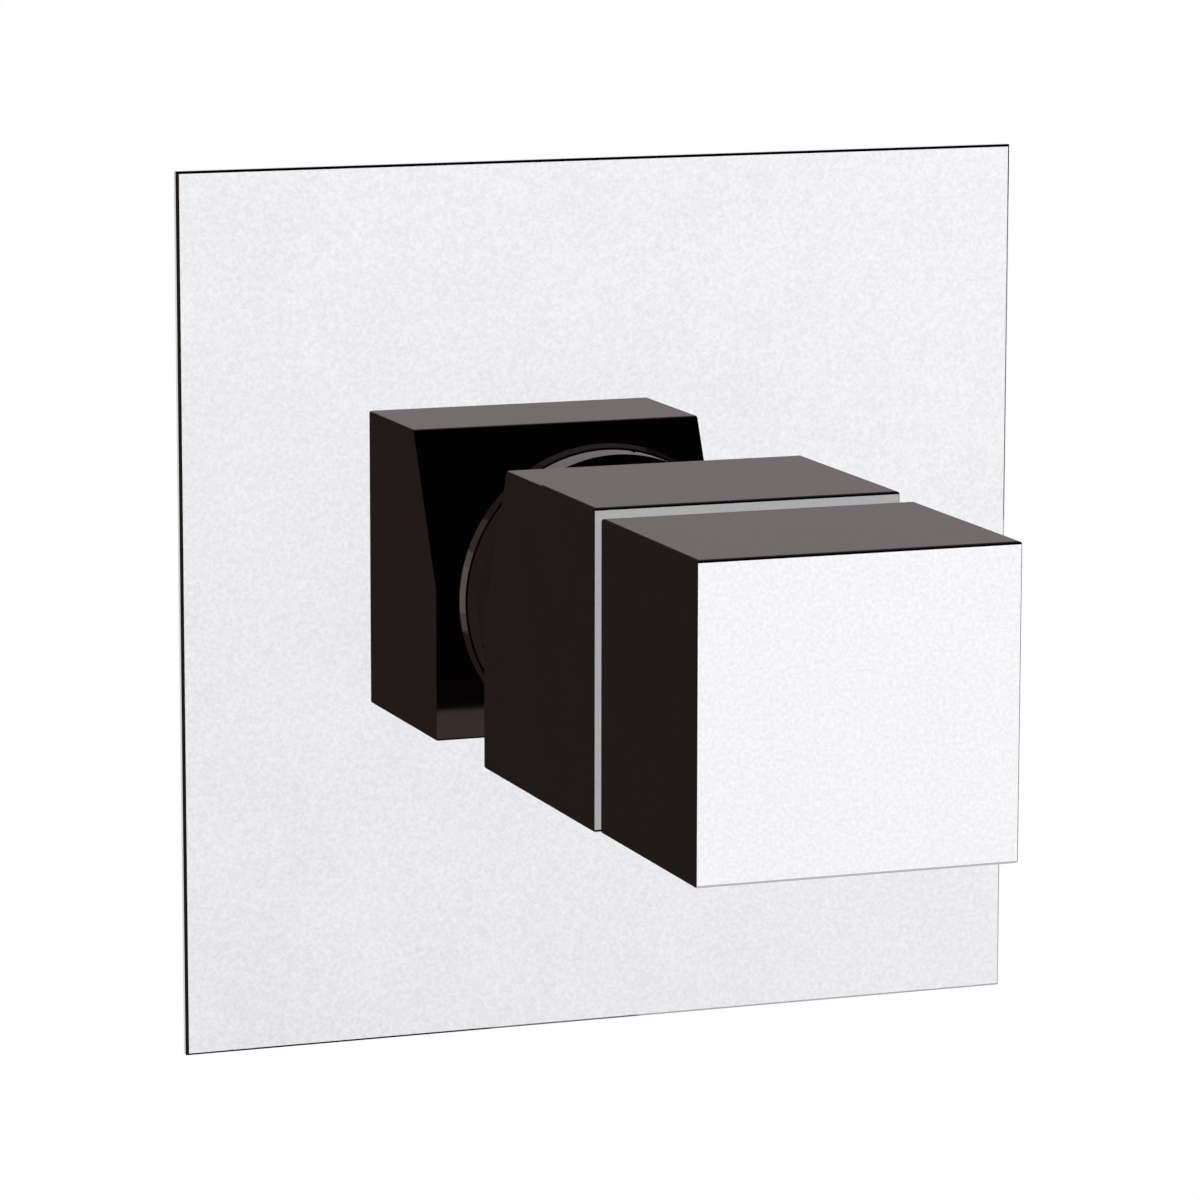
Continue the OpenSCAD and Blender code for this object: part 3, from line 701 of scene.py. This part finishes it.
@dataclass
class OuterMetal:
    """The polished metal in front of the plate: boss, skirt, lever block and button.

    Attributes:
        shaper: Makes the pieces.
        block_front_y: The lever block's front face.
        cap_front_y: The button's front face.
        drum_front_y: The drum's front face.
        edge_mm: How far the edges of boss, lever block and button are broken, a dark outline.
        base_mm: How far the dome's base is rounded, behind the boss's mouth.
        cone_mm: How much the thin ring's rim tapers towards the front.
        fine_mm: How far the ring's two edges are broken.
        drum_mm: The chamfer round the drum's front.
        core_mm: How far the edges of the button's core are rounded.
        shortest: The shortest edge of a square piece or of the core that is broken.
    """

    shaper: Shaper
    block_front_y: float = -91.1 * MM
    cap_front_y: float = -126.85 * MM
    drum_front_y: float = -45.8 * MM
    edge_mm: tuple[float, float, float] = (0.08, 0.15, 0.25)
    base_mm: float = 1.2
    cone_mm: float = 0.4
    fine_mm: float = 0.05
    drum_mm: float = 0.9
    core_mm: float = 0.25
    shortest: float = 5.0 * MM

    def build(self) -> None:
        """Builds the pieces from the wall outwards.

        They aren't mirrored in each other or in the plate: the photograph's plate is even all round
        the boss, and its polished sides show plain dark and grey, for which the cards stand.
        """
        boss_edge, block_edge, cap_edge = self.edge_mm
        for piece in (
            self.square_piece("boss", "polished_boss", "fixed_body", boss_edge),
            self.dome(),
            self.ring(),
            self.drum(),
            self.grub_plug(),
            # The lever block's front takes the milled finish, whose grey colour is painted shade for the gap
            # behind the button
            self.square_piece(
                "lever_block", "polished_lever_block", "lever", block_edge, MILLED_CHROME_GAP_SHADE, self.block_front_y
            ),
            self.square_piece(
                "push_cap", "push_cap_shell", "button", cap_edge, SATIN_CHROME, self.cap_front_y
            ),
            self.core(),
        ):
            piece.visible_glossy = False

    def square_piece(
        self,
        node: str,
        name: str,
        body: str,
        edge_mm: float,
        front: Finish = POLISHED_CHROME,
        front_y: float = 0.0,
    ) -> bpy.types.Object:
        """Makes a square piece, polished on its sides and finished its own way in front.

        Args:
            node: The node that it stands for.
            name: The piece's name.
            body: The body that it rides on.
            edge_mm: How far its edges are broken.
            front: The finish of its front face.
            front_y: Where that face lies.

        Returns:
            The piece.
        """
        bm = self.shaper.copy_of(node)
        self.shaper.round_edges(bm, edge_mm, SLOPE_ANGLE, self.long_enough, segments=1)
        finishes = (POLISHED_CHROME,) if front is POLISHED_CHROME else (POLISHED_CHROME, front)
        return self.shaper.finish_piece(
            bm,
            name,
            node,
            body,
            finishes,
            lambda face: 1 if len(finishes) > 1 and faces_front(face, front_y) else 0,
        )

    def long_enough(self, edge: bmesh.types.BMEdge) -> bool:
        """Says whether an edge is long enough to be broken."""
        return edge.calc_length() > self.shortest

    def on_rim(self, node: str, front_y: Optional[float] = None) -> EdgeTest:
        """Makes a test for the edges round the outside of a round node.

        Args:
            node: The node.
            front_y: The one rim that counts, if not all of them do.

        Returns:
            The test.
        """
        lo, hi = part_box(node)
        reach = (hi.x - lo.x) / 2

        def outside(edge: bmesh.types.BMEdge) -> bool:
            """Says whether an edge lies on the rim."""
            at = middle(edge)
            here = front_y is None or abs(at.y - front_y) < EDGE_SLACK
            return here and math.hypot(at.x, at.z) > reach - ROUND_SLACK

        return outside

    def dome(self) -> bpy.types.Object:
        """Makes the round cover in the boss's mouth, its base rounded."""
        bm = self.shaper.copy_of("ball_dome")
        self.shaper.round_edges(bm, self.base_mm, RIM_ANGLE, self.on_rim("ball_dome"), segments=5)
        return self.shaper.finish_piece(
            bm, "polished_dome", "ball_dome", "turning_fork", (POLISHED_CHROME,), soft_rounding=True
        )

    def ring(self) -> bpy.types.Object:
        """Makes the thin ring. Its rim is a cone, the dull line round the drum in the photograph."""
        bm = self.shaper.copy_of("skirt_ring")
        lo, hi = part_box("skirt_ring")
        reach = (hi.x - lo.x) / 2
        for vert in bm.verts:
            radius = math.hypot(vert.co.x, vert.co.z)
            if radius > reach - EDGE_SLACK and vert.co.y < lo.y + EDGE_SLACK:
                shrink = 1 - self.cone_mm * MM / radius
                vert.co.x *= shrink
                vert.co.z *= shrink

        def outside(edge: bmesh.types.BMEdge) -> bool:
            """Says whether an edge lies on either end of the cone."""
            at = middle(edge)
            return math.hypot(at.x, at.z) > reach - self.cone_mm * MM - ROUND_SLACK

        self.shaper.round_edges(bm, self.fine_mm, RIM_ANGLE, outside, segments=1)
        return self.shaper.finish_piece(bm, "polished_ring", "skirt_ring", "lever", (POLISHED_CHROME,))

    def drum(self) -> bpy.types.Object:
        """Makes the drum with its front edge chamfered."""
        bm = self.shaper.copy_of("skirt_drum")
        rim = self.on_rim("skirt_drum", self.drum_front_y)
        self.shaper.round_edges(bm, self.drum_mm, RIM_ANGLE, rim, segments=1)
        return self.shaper.finish_piece(bm, "polished_drum", "skirt_drum", "lever", (POLISHED_CHROME,))

    def grub_plug(self) -> bpy.types.Object:
        """Makes the plug over the grub screw as it is, with its round side smooth."""
        bm = self.shaper.copy_of("grub_plug")
        return self.shaper.finish_piece(bm, "polished_plug", "grub_plug", "lever", (POLISHED_CHROME,))

    def core(self) -> bpy.types.Object:
        """Makes the button's moulded core, with the soft edges of a moulding."""
        bm = self.shaper.copy_of("button_core")
        self.shaper.round_edges(bm, self.core_mm, CORNER_ANGLE, self.long_enough)
        return self.shaper.finish_piece(bm, "moulded_core", "button_core", "button", (GLASS_NYLON,))


@dataclass(frozen=True)
class Port:
    """One pipe socket of the concealed body.

    Attributes:
        node: Its node.
        name: The piece's name.
        axis: The direction that it opens to.
        depth_y: How deep in the wall its axis lies.
        finish: Its finish, turned about its own axis.
    """

    node: str
    name: str
    axis: tuple[float, float, float]
    depth_y: float
    finish: Finish


@dataclass
class ConcealedBody:
    """The brass body in the wall with its sockets and its rear plug.

    Attributes:
        shaper: Makes the pieces.
        thread_r: The thread's core radius in a socket.
        thread_start: Where the thread starts, from the tap axis.
        thread_end: The socket's outer end.
        pitch: The thread's pitch, 14 to the inch.
        thread_depth: How deep the thread is cut.
        run_out: Over how many pitches the thread fades at each end.
        steps: Rows of faces for one pitch.
        socket_edge_mm: How far a socket's short edges are rounded.
        socket_edge_longest: The longest of those edges.
        cast_edge_mm: How far the cast edges are rounded.
        margin: What keeps off the barrel and the arms' ends, and how much of the barrel is plated.
        shortest: The shortest edge of the body or of the plug's hexagon that is rounded.
        arm_end: Where the body's arms end, from the tap axis.
        barrel_r: The barrel's radius.
        barrel_front_y: The barrel's front end.
        barrel_back_y: Where the turned barrel goes over into the cast body.
        hexagon_mm: How far the corners of the plug's hexagon are eased.
        hexagon_t: The hexagon's thickness.
        hexagon_r: A radius inside the hexagon.
    """

    shaper: Shaper
    thread_r: float = 9.3 * MM
    thread_start: float = 24.5 * MM
    thread_end: float = 36.5 * MM
    pitch: float = 1.814 * MM
    thread_depth: float = 1.1 * MM
    run_out: float = 0.8
    steps: int = 6
    socket_edge_mm: float = 0.3
    socket_edge_longest: float = 4.0 * MM
    cast_edge_mm: float = 0.7
    margin: float = 1.0 * MM
    shortest: float = 3.0 * MM
    arm_end: float = 24.0 * MM
    barrel_r: float = 15.5 * MM
    barrel_front_y: float = -23.0 * MM
    barrel_back_y: float = 2.0 * MM
    hexagon_mm: float = 0.5
    hexagon_t: float = 5.0 * MM
    hexagon_r: float = 15.0 * MM

    def build(self) -> None:
        """Builds body, plug, sockets, strainers and check valves."""
        self.body()
        self.plug()
        for port in (
            Port("inlet_socket_hot", "threaded_socket_hot", LEFT, 16 * MM, TURNED_BRASS_X),
            Port("inlet_socket_cold", "threaded_socket_cold", RIGHT, 16 * MM, TURNED_BRASS_X),
            Port("outlet_socket", "threaded_socket_out", UP, 34 * MM, TURNED_BRASS_Z),
        ):
            self.socket(port)
        for node in ("strainer_hot", "strainer_cold"):
            self.plain(node, "punched_" + node, TURNED_STEEL)
        for node in ("check_valve_hot", "check_valve_cold"):
            self.plain(node, "moulded_" + node, ACETAL)

    def plain(self, node: str, name: str, finish: Finish) -> bpy.types.Object:
        """Makes a small piece as it is in the frame, with its round sides smooth.

        Args:
            node: The node that it stands for.
            name: The piece's name.
            finish: Its finish.

        Returns:
            The piece.
        """
        bm = self.shaper.copy_of(node)
        return self.shaper.finish_piece(bm, name, node, "fixed_body", (finish,))

    def body(self) -> bpy.types.Object:
        """Makes the body: cast skin, bright where it was turned, plated at the barrel's front end.

        That end shows as a thin crescent in the boss's mouth, where the photograph is black.

        Returns:
            The piece.
        """
        bm = self.shaper.copy_of("valve_body")

        def cast_edge(edge: bmesh.types.BMEdge) -> bool:
            """Says whether an edge has the cast skin on both sides."""
            at = middle(edge)
            off_barrel = math.hypot(at.x, at.z) > self.barrel_r + self.margin
            off_end = max(abs(at.x), at.z) < self.arm_end - self.margin
            behind = at.y > self.barrel_back_y
            return off_barrel and off_end and behind and edge.calc_length() > self.shortest

        self.shaper.round_edges(bm, self.cast_edge_mm, CORNER_ANGLE, cast_edge, segments=3)

        def skin(face: bmesh.types.BMFace) -> int:
            """Gives a face's finish: 2 where it is plated, 1 where it was turned, 0 where it is cast."""
            at = face.calc_center_median()
            if min(vert.co.y for vert in face.verts) < self.barrel_front_y + self.margin:
                return 2
            on_barrel = at.y < self.barrel_back_y
            on_arm_end = max(abs(at.x), at.z) > self.arm_end - EDGE_SLACK
            return 1 if on_barrel or on_arm_end else 0

        piece = self.shaper.finish_piece(
            bm,
            "cast_valve_body",
            "valve_body",
            "fixed_body",
            (CAST_BRASS, TURNED_BRASS_Y, POLISHED_CHROME),
            skin,
            soft_rounding=True,
        )
        # Its barrel stands inside the boss, which isn't mirrored in the plate
        piece.visible_glossy = False
        return piece

    def plug(self) -> bpy.types.Object:
        """Makes the rear plug, with the corners of its hexagon eased."""
        bm = self.shaper.copy_of("rear_plug")
        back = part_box("rear_plug")[1].y

        def hexagon(edge: bmesh.types.BMEdge) -> bool:
            """Says whether an edge is one of the hexagon's outer edges."""
            at = middle(edge)
            on_hexagon = at.y > back - self.hexagon_t and math.hypot(at.x, at.z) > self.hexagon_r
            return on_hexagon and edge.calc_length() > self.shortest

        self.shaper.round_edges(bm, self.hexagon_mm, HEXAGON_ANGLE, hexagon, segments=3)
        return self.shaper.finish_piece(
            bm, "hexagon_rear_plug", "rear_plug", "fixed_body", (TURNED_BRASS_Y,)
        )

    def socket(self, port: Port) -> bpy.types.Object:
        """Makes a pipe socket with its thread cut.

        The frame's plain bore is divided into rows, and each point of it is moved outwards to
        follow a helix, less towards both ends, where a thread runs out.

        Args:
            port: The socket.

        Returns:
            The piece.
        """
        bm = self.shaper.copy_of(port.node)
        axis = Vector(port.axis)
        centre = Vector((0, port.depth_y, 0))

        def split(point: Vector) -> tuple[float, Vector]:
            """Gives how far along the socket's axis a point lies, and its way out from the axis."""
            rel = point - centre
            along = rel.dot(axis)
            return along, rel - axis * along

        def in_bore(face: bmesh.types.BMFace) -> bool:
            """Says whether a face is a side of the bore that gets the thread."""
            rings = [split(v.co) for v in face.verts]
            same_radius = all(abs(out.length - self.thread_r) < BORE_SLACK for _, out in rings)
            return same_radius and max(a for a, _ in rings) > self.thread_end - PLANE_SLACK

        def short_edge(edge: bmesh.types.BMEdge) -> bool:
            """Says whether an edge is short and off the thread."""
            off_thread = not any(face[tagged] for face in edge.link_faces)
            return off_thread and edge.calc_length() < self.socket_edge_longest

        bore = [f for f in bm.faces if in_bore(f)]
        row = self.pitch / self.steps
        count = int((self.thread_end - self.thread_start) / row)
        tagged = bm.faces.layers.int["rounded"]
        for face in bore:
            face[tagged] = 1
        for i in range(1, count):
            geom = [f for f in bm.faces if f[tagged]]
            edges = {e for f in geom for e in f.edges}
            verts = {v for f in geom for v in f.verts}
            bmesh.ops.bisect_plane(
                bm,
                geom=[*geom, *edges, *verts],
                dist=ON_CUT,
                plane_co=centre + axis * (self.thread_start + i * row),
                plane_no=axis,
            )
        side = Vector(BACK)
        up = axis.cross(side)
        moved = {v for f in bm.faces if f[tagged] for v in f.verts}
        for vert in moved:
            along, out = split(vert.co)
            ends = min(along - self.thread_start, self.thread_end - along)
            fade = min(1.0, max(0.0, ends) / (self.run_out * self.pitch))
            turn = math.atan2(out.dot(up), out.dot(side)) / (2 * math.pi)
            phase = (along / self.pitch - turn) % 1.0
            height = 1.0 - abs(2.0 * phase - 1.0)
            vert.co += out.normalized() * (self.thread_depth * fade * height)
        self.shaper.round_edges(bm, self.socket_edge_mm, CORNER_ANGLE, short_edge)
        return self.shaper.finish_piece(bm, port.name, port.node, "fixed_body", (port.finish,))


@dataclass(frozen=True)
class Card:
    """A card in the studio that only the metal sees.

    Attributes:
        name: Its name.
        colour: Its colour, as it is seen.
        centre: Its middle, in metres.
        size: Its width and height, in metres.
        facing: The direction that it faces.
        strength: How bright it is, 1 being as its colour is written.
    """

    name: str
    colour: str
    centre: tuple[float, float, float]
    size: tuple[float, float]
    facing: tuple[float, float, float]
    strength: float = 1.0


@dataclass
class Studio:
    """Camera, light, floor and cards.

    Attributes:
        camera_place: Where the camera stands, solved from the photograph's perspective.
        camera_turn: How it is turned, as a quaternion.
        lens_mm: Its focal length.
        sensor_mm: The width of its sensor.
        clip: The nearest and the farthest that it sees.
        room_colour: The room's colour for what isn't metal.
        room_light: How bright it is for that.
        floor_colours: The two tones of the floor's paint.
        floor_mottle: How many patches of them there are to the metre.
        floor_roughness: How matt the paint is.
        floor_z: The floor's height, below the tap.
        floor_r: The floor's radius.
        floor_sides: How many sides its round edge has.
    """

    camera_place: tuple[float, float, float] = (-0.247569, -0.720778, 0.125508)
    camera_turn: tuple[float, float, float, float] = (0.7539678, 0.6337095, -0.1118312, -0.132055)
    lens_mm: float = 169.552
    sensor_mm: float = 36.0
    clip: tuple[float, float] = (0.01, 50.0)
    room_colour: str = "#f4f5f7"
    room_light: float = 0.55
    floor_colours: tuple[str, str] = ("#eeeeef", "#f6f6f7")
    floor_mottle: float = 9.0
    floor_roughness: float = 0.7
    floor_z: float = -0.42
    floor_r: float = 0.8
    floor_sides: int = 96

    def build(self) -> None:
        """Sets up everything round the object."""
        self.camera()
        self.world()
        self.floor()
        self.cards()
        self.lamps()
        bpy.context.scene.view_settings.view_transform = "Standard"

    def camera(self) -> None:
        """Makes the camera at the photograph's angle."""
        data = bpy.data.cameras.new("camera")
        data.lens = self.lens_mm
        data.sensor_width = self.sensor_mm
        data.clip_start, data.clip_end = self.clip
        camera = bpy.data.objects.new("camera", data)
        camera.location = self.camera_place
        camera.rotation_mode = "QUATERNION"
        camera.rotation_quaternion = Quaternion(self.camera_turn)
        bpy.context.scene.collection.objects.link(camera)
        bpy.context.scene.camera = camera

    def world(self) -> None:
        """Makes the world: white where the camera and the metal see it, and pale light for the rest."""
        world = bpy.data.worlds.new("studio")
        world.use_nodes = True
        tree = world.node_tree
        tree.nodes.clear()
        path = add_node(tree, "ShaderNodeLightPath")
        seen = path.outputs["Is Camera Ray"]
        for ray in ("Is Glossy Ray", "Is Transmission Ray"):
            links = {0: seen, 1: path.outputs[ray]}
            seen = add_node(tree, "ShaderNodeMath", {"operation": "MAXIMUM"}, links).outputs[0]
        pale = {"Color": linear(self.room_colour), "Strength": self.room_light}
        room = add_node(tree, "ShaderNodeBackground", pale)
        white = add_node(tree, "ShaderNodeBackground", {"Color": (1, 1, 1, 1), "Strength": 1.0})
        mixed = add_node(
            tree,
            "ShaderNodeMixShader",
            links={0: seen, 1: room.outputs[0], 2: white.outputs[0]},
        )
        add_node(tree, "ShaderNodeOutputWorld", links={"Surface": mixed.outputs[0]})
        bpy.context.scene.world = world

    def floor(self) -> None:
        """Makes the plain pale floor."""
        bm = bmesh.new()
        bmesh.ops.create_circle(bm, cap_ends=True, segments=self.floor_sides, radius=self.floor_r)
        bmesh.ops.translate(bm, verts=bm.verts, vec=(0, 0, self.floor_z))
        floor = object_from(bm, "floor")
        paint = blank_material("pale_floor_paint")
        tree = paint.node_tree
        place = add_node(tree, "ShaderNodeTexCoord").outputs["Object"]
        mottle = {"Scale": self.floor_mottle, "Detail": 4.0}
        grain = add_node(tree, "ShaderNodeTexNoise", mottle, {"Vector": place})
        low, high = (linear(colour) for colour in self.floor_colours)
        tone = add_node(
            tree,
            "ShaderNodeMix",
            {"data_type": "RGBA", 6: low, 7: high},
            {0: grain.outputs["Fac"]},
        )
        matt = {"Roughness": self.floor_roughness}
        shader = add_node(tree, "ShaderNodeBsdfPrincipled", matt, {"Base Color": tone.outputs[2]})
        add_node(tree, "ShaderNodeOutputMaterial", links={"Surface": shader.outputs["BSDF"]})
        floor.data.materials.append(paint)

    def cards(self) -> None:
        """Stands the cards that give the polished sides their tones, as in the photograph.

        The wall's cards lie just inside the plate, where the polished sides would mirror its front; they are
        painted reflections, dark and grey patches that those sides show at their roots.
        The mouth card stands in the boss's mouth as a dark sheet that paints the shade there into the
        reflections of dome and ring, and the ring card paints a dark reflection before the ring's right arc.
        """
        for card in (
            Card("left_card", "#2c2421", (-0.62, -0.55, 0.06), (2.1, 1.12), RIGHT),
            Card("top_card", "#060404", (0.015, -0.525, 0.62), (1.27, 1.05), DOWN),
            Card("top_back_card", "#3a3433", (0.015, 0.3, 0.62), (1.27, 0.6), DOWN),
            Card("bottom_card", "#120c0b", (0.12, -0.05, -0.35), (0.5, 0.5), UP),
            Card("bottom_left_card", "#120c0b", (-0.375, -0.35, -0.35), (0.49, 0.5), UP),
            Card("right_card", "#120c0b", (0.5, 0.1, 0.1), (0.5, 0.9), LEFT),
            Card("front_card", "#060303", (0.28, -0.85, -0.115), (0.24, 0.138), BACK),
            Card("front_strip", "#4b3f3c", (0.28, -0.85, -0.224), (0.24, 0.08), BACK),
            # Wall cards: painted reflections, dark and grey patches that the polished sides mirror near the
            # plate instead of its pale front
            Card("wall_left", "#2c2421", (-0.0751, -0.0018, 0.0), (0.1098, 0.26), FRONT),
            Card("wall_left_line", "#70665f", (-0.08575, -0.0019, -0.003), (0.0295, 0.034), FRONT),
            Card("wall_left_near", "#635956", (-0.08575, -0.0019, 0.02), (0.0295, 0.012), FRONT),
            Card("wall_left_low", "#5a514d", (-0.08575, -0.0019, -0.0255), (0.0295, 0.011), FRONT),
            Card("wall_left_over", "#443b38", (-0.08575, -0.0019, 0.0385), (0.0295, 0.025), FRONT),
            Card("wall_left_under", "#443b38", (-0.08575, -0.0019, -0.0455), (0.0295, 0.029), FRONT),
            Card("wall_top", "#847b7c", (0.0549, -0.0018, 0.03235), (0.1502, 0.0253), FRONT),
            Card("wall_top_low", "#847b7c", (0.07485, -0.0018, 0.00985), (0.1103, 0.0197), FRONT),
            Card("wall_top_high", "#322d2d", (0.0549, -0.0018, 0.0875), (0.1502, 0.085), FRONT),
            Card("wall_right", "#d9dadb", (0.07485, -0.0018, -0.065), (0.1103, 0.13), FRONT),
            Card("wall_bottom_left", "#2c2421", (-0.0111, -0.0018, -0.07485), (0.0182, 0.1103), FRONT),
            Card("wall_bottom", "#8f8b8b", (0.00885, -0.0018, -0.07485), (0.0217, 0.1103), FRONT),
            Card("wall_middle", "#060303", (-0.00025, -0.0018, 0.0), (0.0399, 0.0394), FRONT),
            # Painted shade: a dark sheet in the boss's mouth that dome and ring mirror
            Card("mouth_card", "#060303", (-0.005, -0.02, 0.0), (0.026, 0.036), FRONT),
            # Painted reflection: a dark patch that the ring's right arc mirrors
            Card("ring_card", "#1a1615", (0.0117, -0.036, 0.01995), (0.0058, 0.0035), FRONT),
            Card("front_panel", "#ffffff", (0.3, -1.0, -0.25), (1.5, 1.5), BACK, 1.52),
        ):
            self.stand(card)

    def stand(self, card: Card) -> None:
        """Stands one card, seen in reflections alone, and only from the side that it faces.

        Args:
            card: The card.
        """
        bm = bmesh.new()
        bmesh.ops.create_grid(bm, x_segments=1, y_segments=1, size=0.5)
        bmesh.ops.scale(bm, vec=(card.size[0], card.size[1], 1), verts=bm.verts)
        turn = Vector(card.facing).to_track_quat("Z", "Y").to_matrix().to_4x4()
        bmesh.ops.transform(bm, matrix=Matrix.Translation(card.centre) @ turn, verts=bm.verts)
        board = object_from(bm, card.name)
        paper = blank_material(card.name + "_paper")
        tree = paper.node_tree
        light = {"Color": linear(card.colour), "Strength": card.strength}
        glow = add_node(tree, "ShaderNodeEmission", light)
        clear = add_node(tree, "ShaderNodeBsdfTransparent")
        behind = add_node(tree, "ShaderNodeNewGeometry").outputs["Backfacing"]
        sides = {0: behind, 1: glow.outputs[0], 2: clear.outputs[0]}
        one_sided = add_node(tree, "ShaderNodeMixShader", links=sides)
        add_node(tree, "ShaderNodeOutputMaterial", links={"Surface": one_sided.outputs[0]})
        board.data.materials.append(paper)
        board.visible_camera = False
        board.visible_diffuse = False
        board.visible_shadow = False
        board.visible_transmission = False

    def lamps(self) -> None:
        """Hangs two soft lamps, in front and above."""
        for name, place, size, power in (
            ("front_softbox", (0.5, -1.3, 0.5), 0.9, 9.0),
            ("top_softbox", (-0.2, 0.3, 1.3), 1.0, 8.0),
        ):
            data = bpy.data.lights.new(name, "AREA")
            data.energy = power
            data.size = size
            lamp = bpy.data.objects.new(name, data)
            lamp.location = place
            lamp.rotation_mode = "QUATERNION"
            lamp.rotation_quaternion = (-Vector(place)).to_track_quat("-Z", "Y")
            lamp.visible_glossy = False
            bpy.context.scene.collection.objects.link(lamp)


def main() -> None:
    """Dresses the frame, builds the pieces and sets up the studio."""
    logging.basicConfig(level=logging.INFO, format="%(message)s")
    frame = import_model()
    shaper = Shaper()
    for node in frame["nodes"]:
        shaper.dress_node(node, NODE_FINISHES[node])
    WallPlate(shaper).build()
    OuterMetal(shaper).build()
    ConcealedBody(shaper).build()
    Studio().build()


if __name__ == "__main__":
    main()
